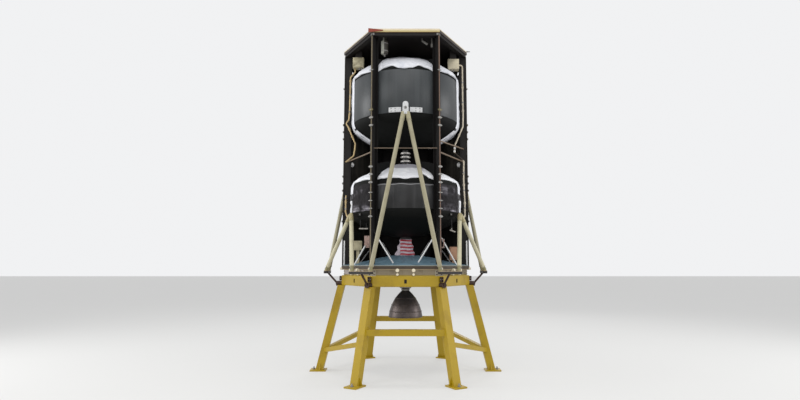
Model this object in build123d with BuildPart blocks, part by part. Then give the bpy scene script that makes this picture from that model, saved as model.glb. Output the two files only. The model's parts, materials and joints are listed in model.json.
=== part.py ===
from build123d import *
from math import atan2, cos, degrees, radians, sin
import os

# Six-sided lunar lander body under construction, open on its three front faces, on its yellow
# steel stand. Millimetres, +Z up, origin on the floor under the middle of the stand.
# The front face looks along -Y. Corners are at 0, 60, 120, 180, 240 and 300 degrees.

os.makedirs("parts", exist_ok=True)

# General clearances
seat = 0.3  # between a piece and the curved or slanting surface that carries it
corners = 6
half_face = 30  # degrees between a corner and the middle of the face beside it
flat_of_corner = cos(radians(half_face))  # a hexagon's inner radius for each unit of its outer one

# Stand
foot_plate_radius = 1050  # middle of each foot plate, from the axis
foot_plate_length = 190
foot_plate_width = 150
foot_plate_thickness = 16
anchor_offset = 55  # from the middle of a foot plate out to its floor anchor hole
anchor_hole_radius = 9
leg_side = 90
leg_offset = 15  # from the middle of a foot plate in to the middle of its leg
leg_top_radius = 785  # middle of a leg where it meets the ring
stand_ring_radius = 800
stand_ring_width = 95
stand_ring_height = 120
stand_ring_bottom = 1020
stand_ring_chamfer = 36
stand_ring_round = 10
ring_slot_width = 28
ring_slot_height = 45
ring_slot_depth = 50
tie_height = 68
tie_depth = 60
tie_middle = 540
brace_side = 50
brace_high = 425
brace_low = 240

# Lander base
block_inner = 660
block_outer = 752
block_width = 100
adapter_height = 65
adapter_radius = 775
adapter_width = 50
base_ring_radius = 790
base_ring_width = 70
base_ring_height = 45
body_radius = 785  # corner posts, outside
shield_flange_radius = 780
shield_flange_thickness = 12
shield_cone_radius = 668
shield_top_radius = 150
shield_rise = 113
shield_skin = 8
shield_overlap = 32  # of the cone under the flange's inner edge
post_slot_width = 30
post_slot_inner = 684
knob_length = 24
knob_offset = 90
corner_knob_radius = 15

# Corner posts and panels
post_cap_width = 22
post_cap_depth = 12
post_web_thickness = 6
post_web_inner = 690
post_flange_width = 60
post_flange_thickness = 4
post_flange_bottom = 1665  # above the base rods, which start beside the web
gusset_thickness = 8
gusset_inner = 560
gusset_slope = 40  # how much higher its inner end is than its outer end
clip_width = 60
clip_tip = 12  # half the width of a clip's flat upper and lower edges
clip_depth = 10
tall_clip = 24
flat_clip = 13
panel_inner = 679.5  # inside face of a panel, from the axis
panel_thickness = 8
panel_hole_radius = 24
panel_hole_offset = 208
panel_hole_heights = (3774, 2550)
window_half_width = 210
window_half_height = 80
window_corner = 30
window_rise = 56  # from the apex up to the window's middle

# Top
top_frame_bottom = 3929
top_frame_height = 46
top_frame_width = 60
deck_thickness = 12
lip_bottom = 3966
lip_height = 43
lip_radius = 796
lip_thickness = 8

# Tanks: radius, then each tank's heights
tank_radius = 668
tank_knuckle = 130
upper_tank = {"bottom": 2700, "low": 3010, "high": 3530, "top": 3850}
lower_tank = {"bottom": 1600, "low": 1895, "high": 2184, "top": 2480}
blanket_thickness = 9
upper_blanket_edge = 3560
lower_blanket_edge = 2215
upper_skirt = 90  # how far above a tank's lowest point the rear wrap ends
lower_skirt = 285
wrap_angle = 15  # how far the rear wrap comes forward of the side posts
neck_radius = 40
neck_flange_radius = 63
neck_flange_height = 14
neck_flange_heights = (2558, 2612, 2661)
neck_gap = 6  # under the neck, over the lower tank's cover

# Struts
strut_radius = 24.5
socket_radius = 27
foot_socket_radius = 21
socket_length = 60
apex_radius = 750
apex_spread = 27  # sideways, from the middle of the face to a strut's top end
high_apex = 2960
low_apex = 1825
foot_radius = 963
foot_spread = 120  # sideways, from the corner's line to a strut's foot
foot_bar_length = 300
foot_bar_depth = 52
foot_bar_bottom = 1162
foot_bar_height = 33
high_arm = {"rise": 50, "height": 56, "depth": 18, "angle": 16.5}  # rise is above the apex
low_arm = {"rise": 10, "height": 30, "depth": 8, "angle": 9}
fitting_boss_width = 56
fitting_boss_height = 56
fitting_plate_width = 66
fitting_plate_height = 150
fitting_plate_depth = 22
fitting_hole_radius = 13
bracket_rod_radius = 12
bracket_disc_radius = 30
bracket_disc_length = 68
bracket_drop = 100  # from the top of the stand ring down to the middle of a disc

# Engine and its gimbal
hub_radius = 140
hub_thickness = 30
spoke_width = 50
gimbal_drop = 65  # from the top of the adapter ring down to the gimbal's centre
gimbal_pin_radius = 10
gimbal_pin_clearance = 0.05
gimbal_ring_outer = 80
gimbal_ring_inner = 62
gimbal_ring_height = 36
gimbal_lug_gap = 8
gimbal_lug_thickness = 16
gimbal_lug_half_width = 24
engine_head_radius = 48
engine_head_rise = 30
chamber_radius = 75
chamber_drop = 40  # from the gimbal's centre down to the chamber's shoulder
chamber_length = 110
throat_radius = 40
throat_length = 35
throat_flange_radius = 54
throat_flange_height = 10
nozzle_exit_radius = 205
nozzle_length = 315
nozzle_wall = 6
bell_flare = 0.66  # share of its width that the bell has gained at its middle point
bell_drop = 0.42  # share of its height down to that point
nozzle_hoop = 5  # radius of the hoops round the bell
nozzle_hoop_shares = (0.35, 0.6, 0.82, 1.0)  # of the way along the bell's wall

# Equipment
rod_radius = 8.5
side_rod_radius = 8
front_rod_radius = 5
cross_rod_place = 732  # where a cross rod meets the post webs, from the axis
pipe_radius = 9
pipe_bend = 30
pipe_arm_side = 12

# Sizes that follow from those above
anchor_radius = foot_plate_radius + anchor_offset
leg_floor_radius = foot_plate_radius - leg_offset
stand_top = stand_ring_bottom + stand_ring_height
bracket_height = stand_top - bracket_drop
adapter_top = stand_top + adapter_height
base_top = adapter_top + base_ring_height
flange_top = base_top + shield_flange_thickness
deck_bottom = top_frame_bottom + top_frame_height
panel_half_width = (panel_inner * sin(radians(half_face)) - post_cap_width / 2 - seat) / flat_of_corner
foot_bar_top = foot_bar_bottom + foot_bar_height
gimbal_height = adapter_top - gimbal_drop
chamber_top = gimbal_height - chamber_drop
chamber_bottom = chamber_top - chamber_length
throat_height = chamber_bottom - throat_length
nozzle_exit_height = throat_height - nozzle_length


def polar(radius, angle, height, sideways=0):
    """Point at a radius and an angle in degrees, moved sideways to the left of that direction."""
    a = radians(angle)
    return Vector(radius * cos(a) - sideways * sin(a), radius * sin(a) + sideways * cos(a), height)


def rod(start, end, radius):
    """Round bar between two points, added to the part being built."""
    line = end - start
    with BuildSketch(Plane(origin=start, z_dir=line)) as section:
        Circle(radius)
    extrude(section.sketch, amount=line.length)


def pipe(points, bend, radius):
    """Round pipe along straight runs joined by bends, added to the part being built."""
    with BuildLine() as route:
        FilletPolyline(*points, radius=bend)
    with BuildSketch(Plane(origin=route.line @ 0, z_dir=route.line % 0)) as section:
        Circle(radius)
    sweep(section.sketch, path=route.wires()[0])


def hexagon_ring(bottom, height, outer, width):
    """Hexagonal ring of a width measured across its flats, added to the part being built."""
    with BuildSketch(Plane.XY.offset(bottom)) as section:
        RegularPolygon(outer, corners)
        RegularPolygon(outer - width / flat_of_corner, corners, mode=Mode.SUBTRACT)
    extrude(section.sketch, amount=height)


def dome_radius(radius, rise, knuckle):
    """Crown radius of a dome whose rounded knuckle meets the cylinder."""
    return ((radius - knuckle) ** 2 + rise**2 - knuckle**2) / (2 * (rise - knuckle))


def tank_body(heights, grow):
    """Cylinder closed by two domes, grown outwards by a distance."""
    radius, knuckle = tank_radius + grow, tank_knuckle + grow
    low_rise = heights["low"] - heights["bottom"] + grow
    high_rise = heights["top"] - heights["high"] + grow
    low_crown = dome_radius(radius, low_rise, knuckle)
    high_crown = dome_radius(radius, high_rise, knuckle)
    low_turn = degrees(atan2(low_crown - low_rise, radius - knuckle))
    high_turn = degrees(atan2(high_crown - high_rise, radius - knuckle))
    bottom, top = heights["low"] - low_rise, heights["high"] + high_rise
    with BuildPart() as body:
        with BuildSketch(Plane.XZ):
            with BuildLine():
                CenterArc((0, bottom + low_crown), low_crown, -90, 90 - low_turn)
                CenterArc((radius - knuckle, heights["low"]), knuckle, -low_turn, low_turn)
                Line((radius, heights["low"]), (radius, heights["high"]))
                CenterArc((radius - knuckle, heights["high"]), knuckle, 0, high_turn)
                CenterArc((0, top - high_crown), high_crown, high_turn, 90 - high_turn)
                Line((0, top), (0, bottom))
            make_face()
        revolve(axis=Axis.Z)
    return body.part


# Strut table: the middle of each face, in degrees, and the height of its apex
strut_faces = (
    (30, high_apex),
    (90, low_apex),
    (150, high_apex),
    (210, low_apex),
    (270, high_apex),
    (330, low_apex),
)


def strut_ends(face, apex, side):
    """Top and bottom working points of the strut on one side of a face."""
    corner = face + side * half_face
    top = polar(apex_radius, face, apex, side * apex_spread)
    foot = polar(foot_radius, corner, foot_bar_top, -side * foot_spread)
    return top, foot


# Stand feet: plates with an upright rib on each side of the leg
foot_rib_height = 90
foot_rib_thickness = 10
with BuildPart() as foot_rib_pair:
    with BuildSketch(Plane.YZ.offset(leg_floor_radius - foot_rib_thickness)):
        for side in (-1, 1):
            Polygon(
                (side * leg_side / 2, foot_plate_thickness),
                (side * foot_plate_width / 2, foot_plate_thickness),
                (side * foot_plate_width / 2, foot_plate_thickness + foot_rib_thickness),
                (side * leg_side / 2, foot_plate_thickness + foot_rib_height),
                align=None,
            )
    extrude(amount=foot_rib_thickness / 2, both=True)
with BuildPart() as foot_ribs:
    with PolarLocations(0, corners):
        add(foot_rib_pair.part)
with BuildPart() as stand_feet:
    with BuildSketch():
        with PolarLocations(foot_plate_radius, corners):
            Rectangle(foot_plate_length, foot_plate_width)
        with PolarLocations(anchor_radius, corners):
            Circle(anchor_hole_radius, mode=Mode.SUBTRACT)
    extrude(amount=foot_plate_thickness)
    add(foot_ribs.part)
stand_feet.part.label = "stand_feet"
export_step(stand_feet.part, "parts/stand_feet.step")

# Stand legs, leaning in from the foot plates to the ring
with BuildPart() as one_leg:
    with BuildSketch(Plane.XY.offset(foot_plate_thickness)):
        with Locations((leg_floor_radius, 0)):
            Rectangle(leg_side, leg_side)
    leg_line = Vector(
        leg_top_radius - leg_floor_radius, 0, stand_ring_bottom - foot_plate_thickness
    )
    extrude(amount=leg_line.length, dir=leg_line)
with BuildPart() as stand_legs:
    with PolarLocations(0, corners):
        add(one_leg.part)
stand_legs.part.label = "stand_legs"
export_step(stand_legs.part, "parts/stand_legs.step")


def leg_point(angle, height):
    """Middle of a leg at a height."""
    share = (height - foot_plate_thickness) / (stand_ring_bottom - foot_plate_thickness)
    radius = leg_floor_radius + share * (leg_top_radius - leg_floor_radius)
    return polar(radius, angle, height)


def beam(start, end, depth, height):
    """Square-edged bar between two leg middles, its sides upright."""
    line = end - start
    level = Vector(0, 0, 1).cross(line).normalized()
    with BuildSketch(Plane(origin=start, x_dir=level, z_dir=line)) as section:
        Rectangle(depth, height)
    extrude(section.sketch, amount=line.length)


# Level ties between the two front legs and the two rear legs, and sloping braces at the sides
with BuildPart() as stand_braces:
    for first, second in ((240, 300), (60, 120)):
        beam(leg_point(first, tie_middle), leg_point(second, tie_middle), tie_depth, tie_height)
    for high_leg, low_leg in ((240, 180), (300, 0), (60, 0), (120, 180)):
        beam(leg_point(high_leg, brace_high), leg_point(low_leg, brace_low), brace_side, brace_side)
    add(stand_legs.part, mode=Mode.SUBTRACT)
stand_braces.part.label = "stand_braces"
export_step(stand_braces.part, "parts/stand_braces.step")

# Stand ring, with a lifting slot in the middle of each side
slot_floor = stand_ring_radius * flat_of_corner - ring_slot_depth
with BuildPart() as stand_ring:
    with BuildSketch(Plane.XY.offset(stand_ring_bottom)) as ring_face:
        RegularPolygon(stand_ring_radius, corners)
        chamfer(ring_face.vertices(), stand_ring_chamfer)
    extrude(amount=stand_ring_height)
    rims = stand_ring.faces().sort_by(Axis.Z)
    fillet(rims[0].edges() + rims[-1].edges(), stand_ring_round)
    with BuildSketch(Plane.XY.offset(stand_ring_bottom)):
        RegularPolygon(stand_ring_radius - stand_ring_width / flat_of_corner, corners)
    extrude(amount=stand_ring_height, mode=Mode.SUBTRACT)
    with BuildSketch(Plane.XY.offset(stand_ring_bottom + (stand_ring_height - ring_slot_height) / 2)):
        with PolarLocations(slot_floor + ring_slot_depth, corners, start_angle=half_face):
            Rectangle(2 * ring_slot_depth, ring_slot_width)
    extrude(amount=ring_slot_height, mode=Mode.SUBTRACT)
stand_ring.part.label = "stand_ring"
export_step(stand_ring.part, "parts/stand_ring.step")

# Corner blocks between the stand ring and the lander's base
with BuildPart() as corner_blocks:
    with BuildSketch(Plane.XY.offset(stand_top)):
        with PolarLocations((block_inner + block_outer) / 2, corners):
            Rectangle(block_outer - block_inner, block_width)
    extrude(amount=adapter_height)
corner_blocks.part.label = "corner_blocks"
export_step(corner_blocks.part, "parts/corner_blocks.step")

# Adapter ring, in six lengths between the corner blocks
with BuildPart() as adapter_ring:
    hexagon_ring(stand_top, adapter_height, adapter_radius, adapter_width)
    with BuildSketch(Plane.XY.offset(stand_top)):
        with PolarLocations(adapter_radius / 2, corners):
            Rectangle(adapter_radius, block_width)
    extrude(amount=adapter_height, mode=Mode.SUBTRACT)
adapter_ring.part.label = "adapter_ring"
export_step(adapter_ring.part, "parts/adapter_ring.step")

# Base ring
with BuildPart() as base_ring:
    hexagon_ring(adapter_top, base_ring_height, base_ring_radius, base_ring_width)
base_ring.part.label = "base_ring"
export_step(base_ring.part, "parts/base_ring.step")

# Round knobs on the sides and corners of the base: height, radius and the ring whose face they pass
knob_rows = ((adapter_top - 3, 20, base_ring_radius), (stand_top + 17, 14, adapter_radius))
with BuildPart() as one_knob_group:
    for height, radius, ring_radius in knob_rows:
        knob_end = ring_radius * flat_of_corner + knob_length
        for sideways in (-knob_offset, knob_offset):
            start = Vector(adapter_radius * flat_of_corner, sideways, height)
            rod(start, Vector(knob_end, sideways, height), radius)
with BuildPart() as rim_knobs:
    with PolarLocations(0, corners, start_angle=half_face):
        add(one_knob_group.part)
    for angle in range(0, 360, 60):
        height = adapter_top + corner_knob_radius
        rod(
            polar(base_ring_radius - corner_knob_radius, angle, height),
            polar(base_ring_radius + corner_knob_radius, angle, height),
            corner_knob_radius,
        )
    add(base_ring.part, mode=Mode.SUBTRACT)
rim_knobs.part.label = "rim_knobs"
export_step(rim_knobs.part, "parts/rim_knobs.step")

# Heat shield: a hexagonal flange and a low flat-topped cone, slotted for the corner posts
cone_slope = shield_skin / cos(atan2(shield_rise, shield_cone_radius - shield_top_radius))
with BuildPart() as heat_shield:
    with BuildSketch(Plane.XY.offset(base_top)):
        RegularPolygon(shield_flange_radius, corners)
        Circle(shield_cone_radius - shield_overlap, mode=Mode.SUBTRACT)
        with PolarLocations(post_slot_inner + body_radius / 2, corners):
            Rectangle(body_radius, post_slot_width, mode=Mode.SUBTRACT)
    extrude(amount=shield_flange_thickness)
    with BuildSketch(Plane.XZ):
        with BuildLine():
            Polyline(
                (shield_cone_radius, flange_top),
                (shield_top_radius, flange_top + shield_rise),
                (0, flange_top + shield_rise),
                (0, flange_top + shield_rise - cone_slope),
                (shield_top_radius, flange_top + shield_rise - cone_slope),
                (shield_cone_radius, flange_top - cone_slope),
                close=True,
            )
        make_face()
    revolve(axis=Axis.Z)
heat_shield.part.label = "heat_shield"
export_step(heat_shield.part, "parts/heat_shield.step")

# Space that the heat shield takes, which pieces standing on it are cut to
with BuildPart() as shield_space:
    with BuildSketch(Plane.XZ):
        with BuildLine():
            Polyline(
                (0, base_top),
                (body_radius, base_top),
                (body_radius, flange_top + seat),
                (shield_cone_radius, flange_top + seat),
                (shield_top_radius, flange_top + shield_rise + seat),
                (0, flange_top + shield_rise + seat),
                close=True,
            )
        make_face()
    revolve(axis=Axis.Z)

# Thrust frame: a hub on six spokes inside the base ring
spoke_end = (base_ring_radius * flat_of_corner) - base_ring_width
with BuildPart() as thrust_frame:
    with BuildSketch(Plane.XY.offset(adapter_top)):
        Circle(hub_radius)
    extrude(amount=hub_thickness)
    with BuildSketch(Plane.XY.offset(adapter_top)):
        with PolarLocations(spoke_end / 2, corners, start_angle=half_face):
            Rectangle(spoke_end, spoke_width)
    extrude(amount=hub_thickness)
thrust_frame.part.label = "thrust_frame"
export_step(thrust_frame.part, "parts/thrust_frame.step")

# Gimbal brackets: two lugs that hang from the hub and carry the pitch pins
lug_inner = gimbal_ring_outer + gimbal_lug_gap
lug_outer = lug_inner + gimbal_lug_thickness
with BuildPart() as gimbal_brackets:
    for side in (-1, 1):
        with BuildSketch(Plane.YZ.offset(side * (lug_inner + lug_outer) / 2)):
            with Locations((0, gimbal_height)):
                Circle(gimbal_lug_half_width)
            with Locations((0, (gimbal_height + adapter_top) / 2)):
                Rectangle(2 * gimbal_lug_half_width, adapter_top - gimbal_height)
            with Locations((0, gimbal_height)):
                Circle(gimbal_pin_radius, mode=Mode.SUBTRACT)
        extrude(amount=gimbal_lug_thickness / 2, both=True)
gimbal_brackets.part.label = "gimbal_brackets"
export_step(gimbal_brackets.part, "parts/gimbal_brackets.step")

# Gimbal ring, with pitch pins along X and bores for the engine's pins along Y
pin_radius = gimbal_pin_radius - gimbal_pin_clearance
with BuildPart() as gimbal_ring:
    with BuildSketch(Plane.XY.offset(gimbal_height - gimbal_ring_height / 2)):
        Circle(gimbal_ring_outer)
    extrude(amount=gimbal_ring_height)
    rod(Vector(-lug_outer, 0, gimbal_height), Vector(lug_outer, 0, gimbal_height), pin_radius)
    with BuildSketch(Plane.XY.offset(gimbal_height - gimbal_ring_height / 2)):
        Circle(gimbal_ring_inner)
    extrude(amount=gimbal_ring_height, mode=Mode.SUBTRACT)
    with BuildSketch(Plane.XZ.offset(-gimbal_ring_outer)):
        with Locations((0, gimbal_height)):
            Circle(gimbal_pin_radius)
    extrude(amount=2 * gimbal_ring_outer, mode=Mode.SUBTRACT)
gimbal_ring.part.label = "gimbal_ring"
export_step(gimbal_ring.part, "parts/gimbal_ring.step")

# Engine chamber: pinned head, injector dome, chamber barrel and throat
with BuildPart() as engine_chamber:
    with BuildSketch(Plane.XZ):
        with BuildLine():
            head_top = gimbal_height + engine_head_rise
            Polyline(
                (0, head_top),
                (engine_head_radius, head_top),
                (engine_head_radius, chamber_top + (chamber_radius - engine_head_radius) / 2),
                (chamber_radius, chamber_top),
                (chamber_radius, chamber_bottom),
                (throat_radius, throat_height + throat_flange_height),
                (throat_flange_radius, throat_height + throat_flange_height),
                (throat_flange_radius, throat_height),
                (0, throat_height),
                close=True,
            )
        make_face()
    revolve(axis=Axis.Z)
    rod(
        Vector(0, -gimbal_ring_outer, gimbal_height),
        Vector(0, gimbal_ring_outer, gimbal_height),
        pin_radius,
    )
engine_chamber.part.label = "engine_chamber"
export_step(engine_chamber.part, "parts/engine_chamber.step")

# Engine nozzle: a bell whose wall flares from the throat to the exit, with hoops round it
bell_height = throat_height - nozzle_exit_height
bell_width = nozzle_exit_radius - throat_radius
bell_mid = (throat_radius + bell_flare * bell_width, throat_height - bell_drop * bell_height)
with BuildPart() as engine_nozzle:
    with BuildSketch(Plane.XZ):
        with BuildLine():
            outer_wall = ThreePointArc(
                (throat_radius, throat_height),
                bell_mid,
                (nozzle_exit_radius, nozzle_exit_height),
            )
            inner_wall = ThreePointArc(
                (throat_radius - nozzle_wall, throat_height),
                (bell_mid[0] - nozzle_wall, bell_mid[1] - nozzle_wall / 2),
                (nozzle_exit_radius - nozzle_wall, nozzle_exit_height),
            )
            Line(outer_wall @ 0, inner_wall @ 0)
            Line(outer_wall @ 1, inner_wall @ 1)
        make_face()
        for share in nozzle_hoop_shares:
            with Locations(outer_wall @ share):
                Circle(nozzle_hoop)
    revolve(axis=Axis.Z)
engine_nozzle.part.label = "engine_nozzle"
export_step(engine_nozzle.part, "parts/engine_nozzle.step")

# Corner posts: a narrow outer cap, a radial web and an inner flange, with shoulder gussets that
# reach in over each tank's upper edge and sit on its blanket
gusset_rises = ((upper_tank, 145), (lower_tank, 110))  # at the post, over the barrel's upper end
with BuildPart() as corner_posts:
    for heights, rise in gusset_rises:
        shoulder = heights["high"]
        with BuildSketch(Plane.XZ):
            Polygon(
                (post_web_inner, shoulder),
                (post_web_inner, shoulder + rise),
                (gusset_inner, shoulder + rise + gusset_slope),
                (gusset_inner, shoulder),
                align=None,
            )
        extrude(amount=gusset_thickness / 2, both=True)
        add(tank_body(heights, blanket_thickness + seat), mode=Mode.SUBTRACT)
    one_gusset_pair = corner_posts.part
    for turn in range(60, 360, 60):
        add(one_gusset_pair, rotation=(0, 0, turn))
    with BuildSketch(Plane.XY.offset(base_top)):
        with PolarLocations(body_radius - post_cap_depth / 2, corners):
            Rectangle(post_cap_depth, post_cap_width)
        web_length = body_radius - post_cap_depth - post_web_inner
        with PolarLocations(post_web_inner + web_length / 2, corners):
            Rectangle(web_length, post_web_thickness)
    extrude(amount=top_frame_bottom - base_top)
    with BuildSketch(Plane.XY.offset(post_flange_bottom)):
        with PolarLocations(post_web_inner + post_flange_thickness / 2, corners):
            Rectangle(post_flange_thickness, post_flange_width)
    extrude(amount=top_frame_bottom - post_flange_bottom)
corner_posts.part.label = "corner_posts"
export_step(corner_posts.part, "parts/corner_posts.step")

# Post clips: small lens-shaped lugs across the outside of the posts, each with its height
clip_table = (
    (3510, flat_clip),
    (3034, tall_clip),
    (2943, tall_clip),
    (2851, tall_clip),
    (2370, tall_clip),
    (2282, tall_clip),
    (2190, tall_clip),
    (2074, flat_clip),
    (1983, flat_clip),
    (1893, flat_clip),
    (1803, tall_clip),
)
with BuildPart() as one_clip_column:
    with BuildSketch(Plane.YZ.offset(body_radius + seat)):
        for height, tall in clip_table:
            with Locations((0, height)):
                Polygon(
                    (-clip_width / 2, 0),
                    (-clip_tip, tall / 2),
                    (clip_tip, tall / 2),
                    (clip_width / 2, 0),
                    (clip_tip, -tall / 2),
                    (-clip_tip, -tall / 2),
                    align=None,
                )
    extrude(amount=clip_depth)
with BuildPart() as post_clips:
    with PolarLocations(0, corners):
        add(one_clip_column.part)
post_clips.part.label = "post_clips"
export_step(post_clips.part, "parts/post_clips.step")


def panel(face, apex, hole_heights):
    """Side panel with pairs of round holes and a window that the strut fitting passes through."""
    length = top_frame_bottom - flange_top
    middle = flange_top + length / 2
    plane = Plane(
        origin=polar(panel_inner, face, middle),
        x_dir=polar(0, face, 0, 1),
        z_dir=polar(1, face, 0),
    )
    with BuildPart() as side:
        with BuildSketch(plane):
            Rectangle(2 * panel_half_width, length)
            with Locations((0, apex + window_rise - middle)):
                RectangleRounded(
                    2 * window_half_width, 2 * window_half_height, window_corner, mode=Mode.SUBTRACT
                )
            for height in hole_heights:
                with Locations(
                    (-panel_hole_offset, height - middle), (panel_hole_offset, height - middle)
                ):
                    Circle(panel_hole_radius, mode=Mode.SUBTRACT)
        extrude(amount=panel_thickness)
    return side


# Rear panels
panel_right = panel(30, high_apex, panel_hole_heights)
panel_right.part.label = "panel_right"
export_step(panel_right.part, "parts/panel_right.step")
panel_rear = panel(90, low_apex, panel_hole_heights[:1])
panel_rear.part.label = "panel_rear"
export_step(panel_rear.part, "parts/panel_rear.step")
panel_left = panel(150, high_apex, panel_hole_heights)
panel_left.part.label = "panel_left"
export_step(panel_left.part, "parts/panel_left.step")

# Top frame, deck and lip
with BuildPart() as top_frame:
    hexagon_ring(top_frame_bottom, top_frame_height, body_radius, top_frame_width)
top_frame.part.label = "top_frame"
export_step(top_frame.part, "parts/top_frame.step")

with BuildPart() as top_deck:
    with BuildSketch(Plane.XY.offset(deck_bottom)):
        RegularPolygon(lip_radius - lip_thickness / flat_of_corner - seat, corners)
    extrude(amount=deck_thickness)
top_deck.part.label = "top_deck"
export_step(top_deck.part, "parts/top_deck.step")

with BuildPart() as top_lip:
    hexagon_ring(lip_bottom, lip_height, lip_radius, lip_thickness)
top_lip.part.label = "top_lip"
export_step(top_lip.part, "parts/top_lip.step")

# Propellant tanks
with BuildPart() as tank_upper:
    add(tank_body(upper_tank, 0))
tank_upper.part.label = "tank_upper"
export_step(tank_upper.part, "parts/tank_upper.step")

with BuildPart() as tank_lower:
    add(tank_body(lower_tank, 0))
tank_lower.part.label = "tank_lower"
export_step(tank_lower.part, "parts/tank_lower.step")


def fitting(apex, arm, boss_rise):
    """Strut fitting on the face at 0 degrees: arms on the tank, boss and two sockets."""
    with BuildPart() as piece:
        with BuildSketch(Plane.XY.offset(apex + arm["rise"])):
            Circle(tank_radius + seat + arm["depth"])
            Circle(tank_radius + seat, mode=Mode.SUBTRACT)
            reach = 2 * tank_radius
            edge = polar(reach, arm["angle"], 0)
            Polygon((0, 0), (edge.X, edge.Y), (edge.X, -edge.Y), align=None, mode=Mode.INTERSECT)
        extrude(amount=arm["height"])
        boss_start = tank_radius + seat + arm["depth"] / 2
        with BuildSketch(Plane.YZ.offset(boss_start)):
            with Locations((0, apex + boss_rise + fitting_boss_height / 2)):
                Rectangle(fitting_boss_width, fitting_boss_height)
        extrude(amount=apex_radius - boss_start)
        for side in (-1, 1):
            top, foot = strut_ends(0, apex, side)
            line = (foot - top).normalized()
            rod(top - line * socket_radius, top + line * socket_length, socket_radius)
    return piece.part


# High strut fittings: cross arms and an oval plate, which has a hole for a lifting pin
high_fitting = fitting(high_apex, high_arm, high_arm["rise"])
plate_middle = high_apex + high_arm["rise"] + high_arm["height"] / 2
with BuildPart() as one_high_fitting:
    add(high_fitting)
    with BuildSketch(Plane.YZ.offset(apex_radius - fitting_plate_depth / 2)):
        with Locations((0, plate_middle)):
            SlotOverall(fitting_plate_height, fitting_plate_width, rotation=90)
    extrude(amount=fitting_plate_depth)
    with BuildSketch(Plane.YZ.offset(apex_radius - fitting_plate_depth / 2)):
        with Locations((0, plate_middle)):
            Circle(fitting_hole_radius)
    extrude(amount=fitting_plate_depth, mode=Mode.SUBTRACT)
with BuildPart() as high_fittings:
    with PolarLocations(0, 3, start_angle=30):
        add(one_high_fitting.part)
high_fittings.part.label = "high_fittings"
export_step(high_fittings.part, "parts/high_fittings.step")

# Low strut fittings: compact blocks on short arms
low_boss_rise = -8
low_fitting = fitting(low_apex, low_arm, low_boss_rise)
with BuildPart() as low_fittings:
    with PolarLocations(0, 3, start_angle=90):
        add(low_fitting)
low_fittings.part.label = "low_fittings"
export_step(low_fittings.part, "parts/low_fittings.step")


def strut_pair(face, apex):
    """Two struts from one fitting down to the feet beside it."""
    for side in (-1, 1):
        top, foot = strut_ends(face, apex, side)
        line = (foot - top).normalized()
        rod(top + line * socket_length, foot - line * socket_length, strut_radius)


# Struts
with BuildPart() as high_struts:
    for face, apex in strut_faces:
        if apex == high_apex:
            strut_pair(face, apex)
high_struts.part.label = "high_struts"
export_step(high_struts.part, "parts/high_struts.step")

with BuildPart() as low_struts:
    for face, apex in strut_faces:
        if apex == low_apex:
            strut_pair(face, apex)
low_struts.part.label = "low_struts"
export_step(low_struts.part, "parts/low_struts.step")

# Foot bars with a socket for each strut
with BuildPart() as foot_bars:
    with BuildSketch(Plane.XY.offset(foot_bar_bottom)):
        with PolarLocations(foot_radius, corners):
            RectangleRounded(foot_bar_depth, foot_bar_length, foot_bar_depth / 3)
    extrude(amount=foot_bar_height)
    for face, apex in strut_faces:
        for side in (-1, 1):
            top, foot = strut_ends(face, apex, side)
            line = (foot - top).normalized()
            rod(foot - line * socket_length, foot + line * foot_bar_height / 3, foot_socket_radius)
foot_bars.part.label = "foot_bars"
export_step(foot_bars.part, "parts/foot_bars.step")

# Foot brackets: a disc on the stand ring's corner, a rod up to the foot bar and a small clevis
ring_corner = stand_ring_radius - stand_ring_chamfer / 2
disc_end = ring_corner + bracket_disc_length
clevis_bottom = bracket_height + bracket_disc_radius + 4
clevis_height = 56
clevis_reach = 30
clevis_cheek = 8
with BuildPart() as one_bracket:
    rod(Vector(ring_corner, 0, bracket_height), Vector(disc_end, 0, bracket_height), bracket_disc_radius)
    rod(
        Vector(disc_end - bracket_rod_radius, 0, bracket_height),
        Vector(foot_radius, 0, foot_bar_bottom + foot_bar_height / 2),
        bracket_rod_radius,
    )
    with BuildSketch(Plane.XY.offset(clevis_bottom)):
        for sideways in (-clevis_cheek, clevis_cheek):
            with Locations((ring_corner + clevis_reach / 2, 1.5 * sideways)):
                Rectangle(clevis_reach, clevis_cheek)
        with Locations((ring_corner + clevis_cheek / 2, 0)):
            Rectangle(clevis_cheek, 4 * clevis_cheek)
    extrude(amount=clevis_height)
with BuildPart() as foot_brackets:
    with PolarLocations(0, corners):
        add(one_bracket.part)
    add(foot_bars.part, mode=Mode.SUBTRACT)
    add(stand_legs.part, mode=Mode.SUBTRACT)
foot_brackets.part.label = "foot_brackets"
export_step(foot_brackets.part, "parts/foot_brackets.step")


def blanket(heights, edge, skirt, apex_faces, apex, arm):
    """Cover over a tank's top and round its rear, open where the fittings reach the tank."""
    with BuildPart() as cover:
        add(tank_body(heights, blanket_thickness))
        add(tank_body(heights, seat), mode=Mode.SUBTRACT)
        reach = 2 * tank_radius
        with BuildSketch(Plane.XY.offset(heights["bottom"] - reach / 4)):
            wrap_end = polar(reach, -wrap_angle, 0)
            Polygon(
                (0, 0),
                (wrap_end.X, wrap_end.Y),
                (wrap_end.X, -reach),
                (-wrap_end.X, -reach),
                (-wrap_end.X, wrap_end.Y),
                align=None,
            )
        extrude(amount=edge - heights["bottom"] + reach / 4, mode=Mode.SUBTRACT)
        with BuildSketch(Plane.XY.offset(heights["bottom"] - reach / 4)):
            Rectangle(reach, reach)
        extrude(amount=reach / 4 + skirt, mode=Mode.SUBTRACT)
        with BuildSketch(Plane.XY.offset(apex + arm["rise"] - blanket_thickness)):
            for face in apex_faces:
                with PolarLocations(tank_radius, 1, start_angle=face):
                    Rectangle(tank_radius / 4, 2 * window_half_width)
        extrude(amount=arm["height"] + 2 * blanket_thickness, mode=Mode.SUBTRACT)
    return cover


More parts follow.
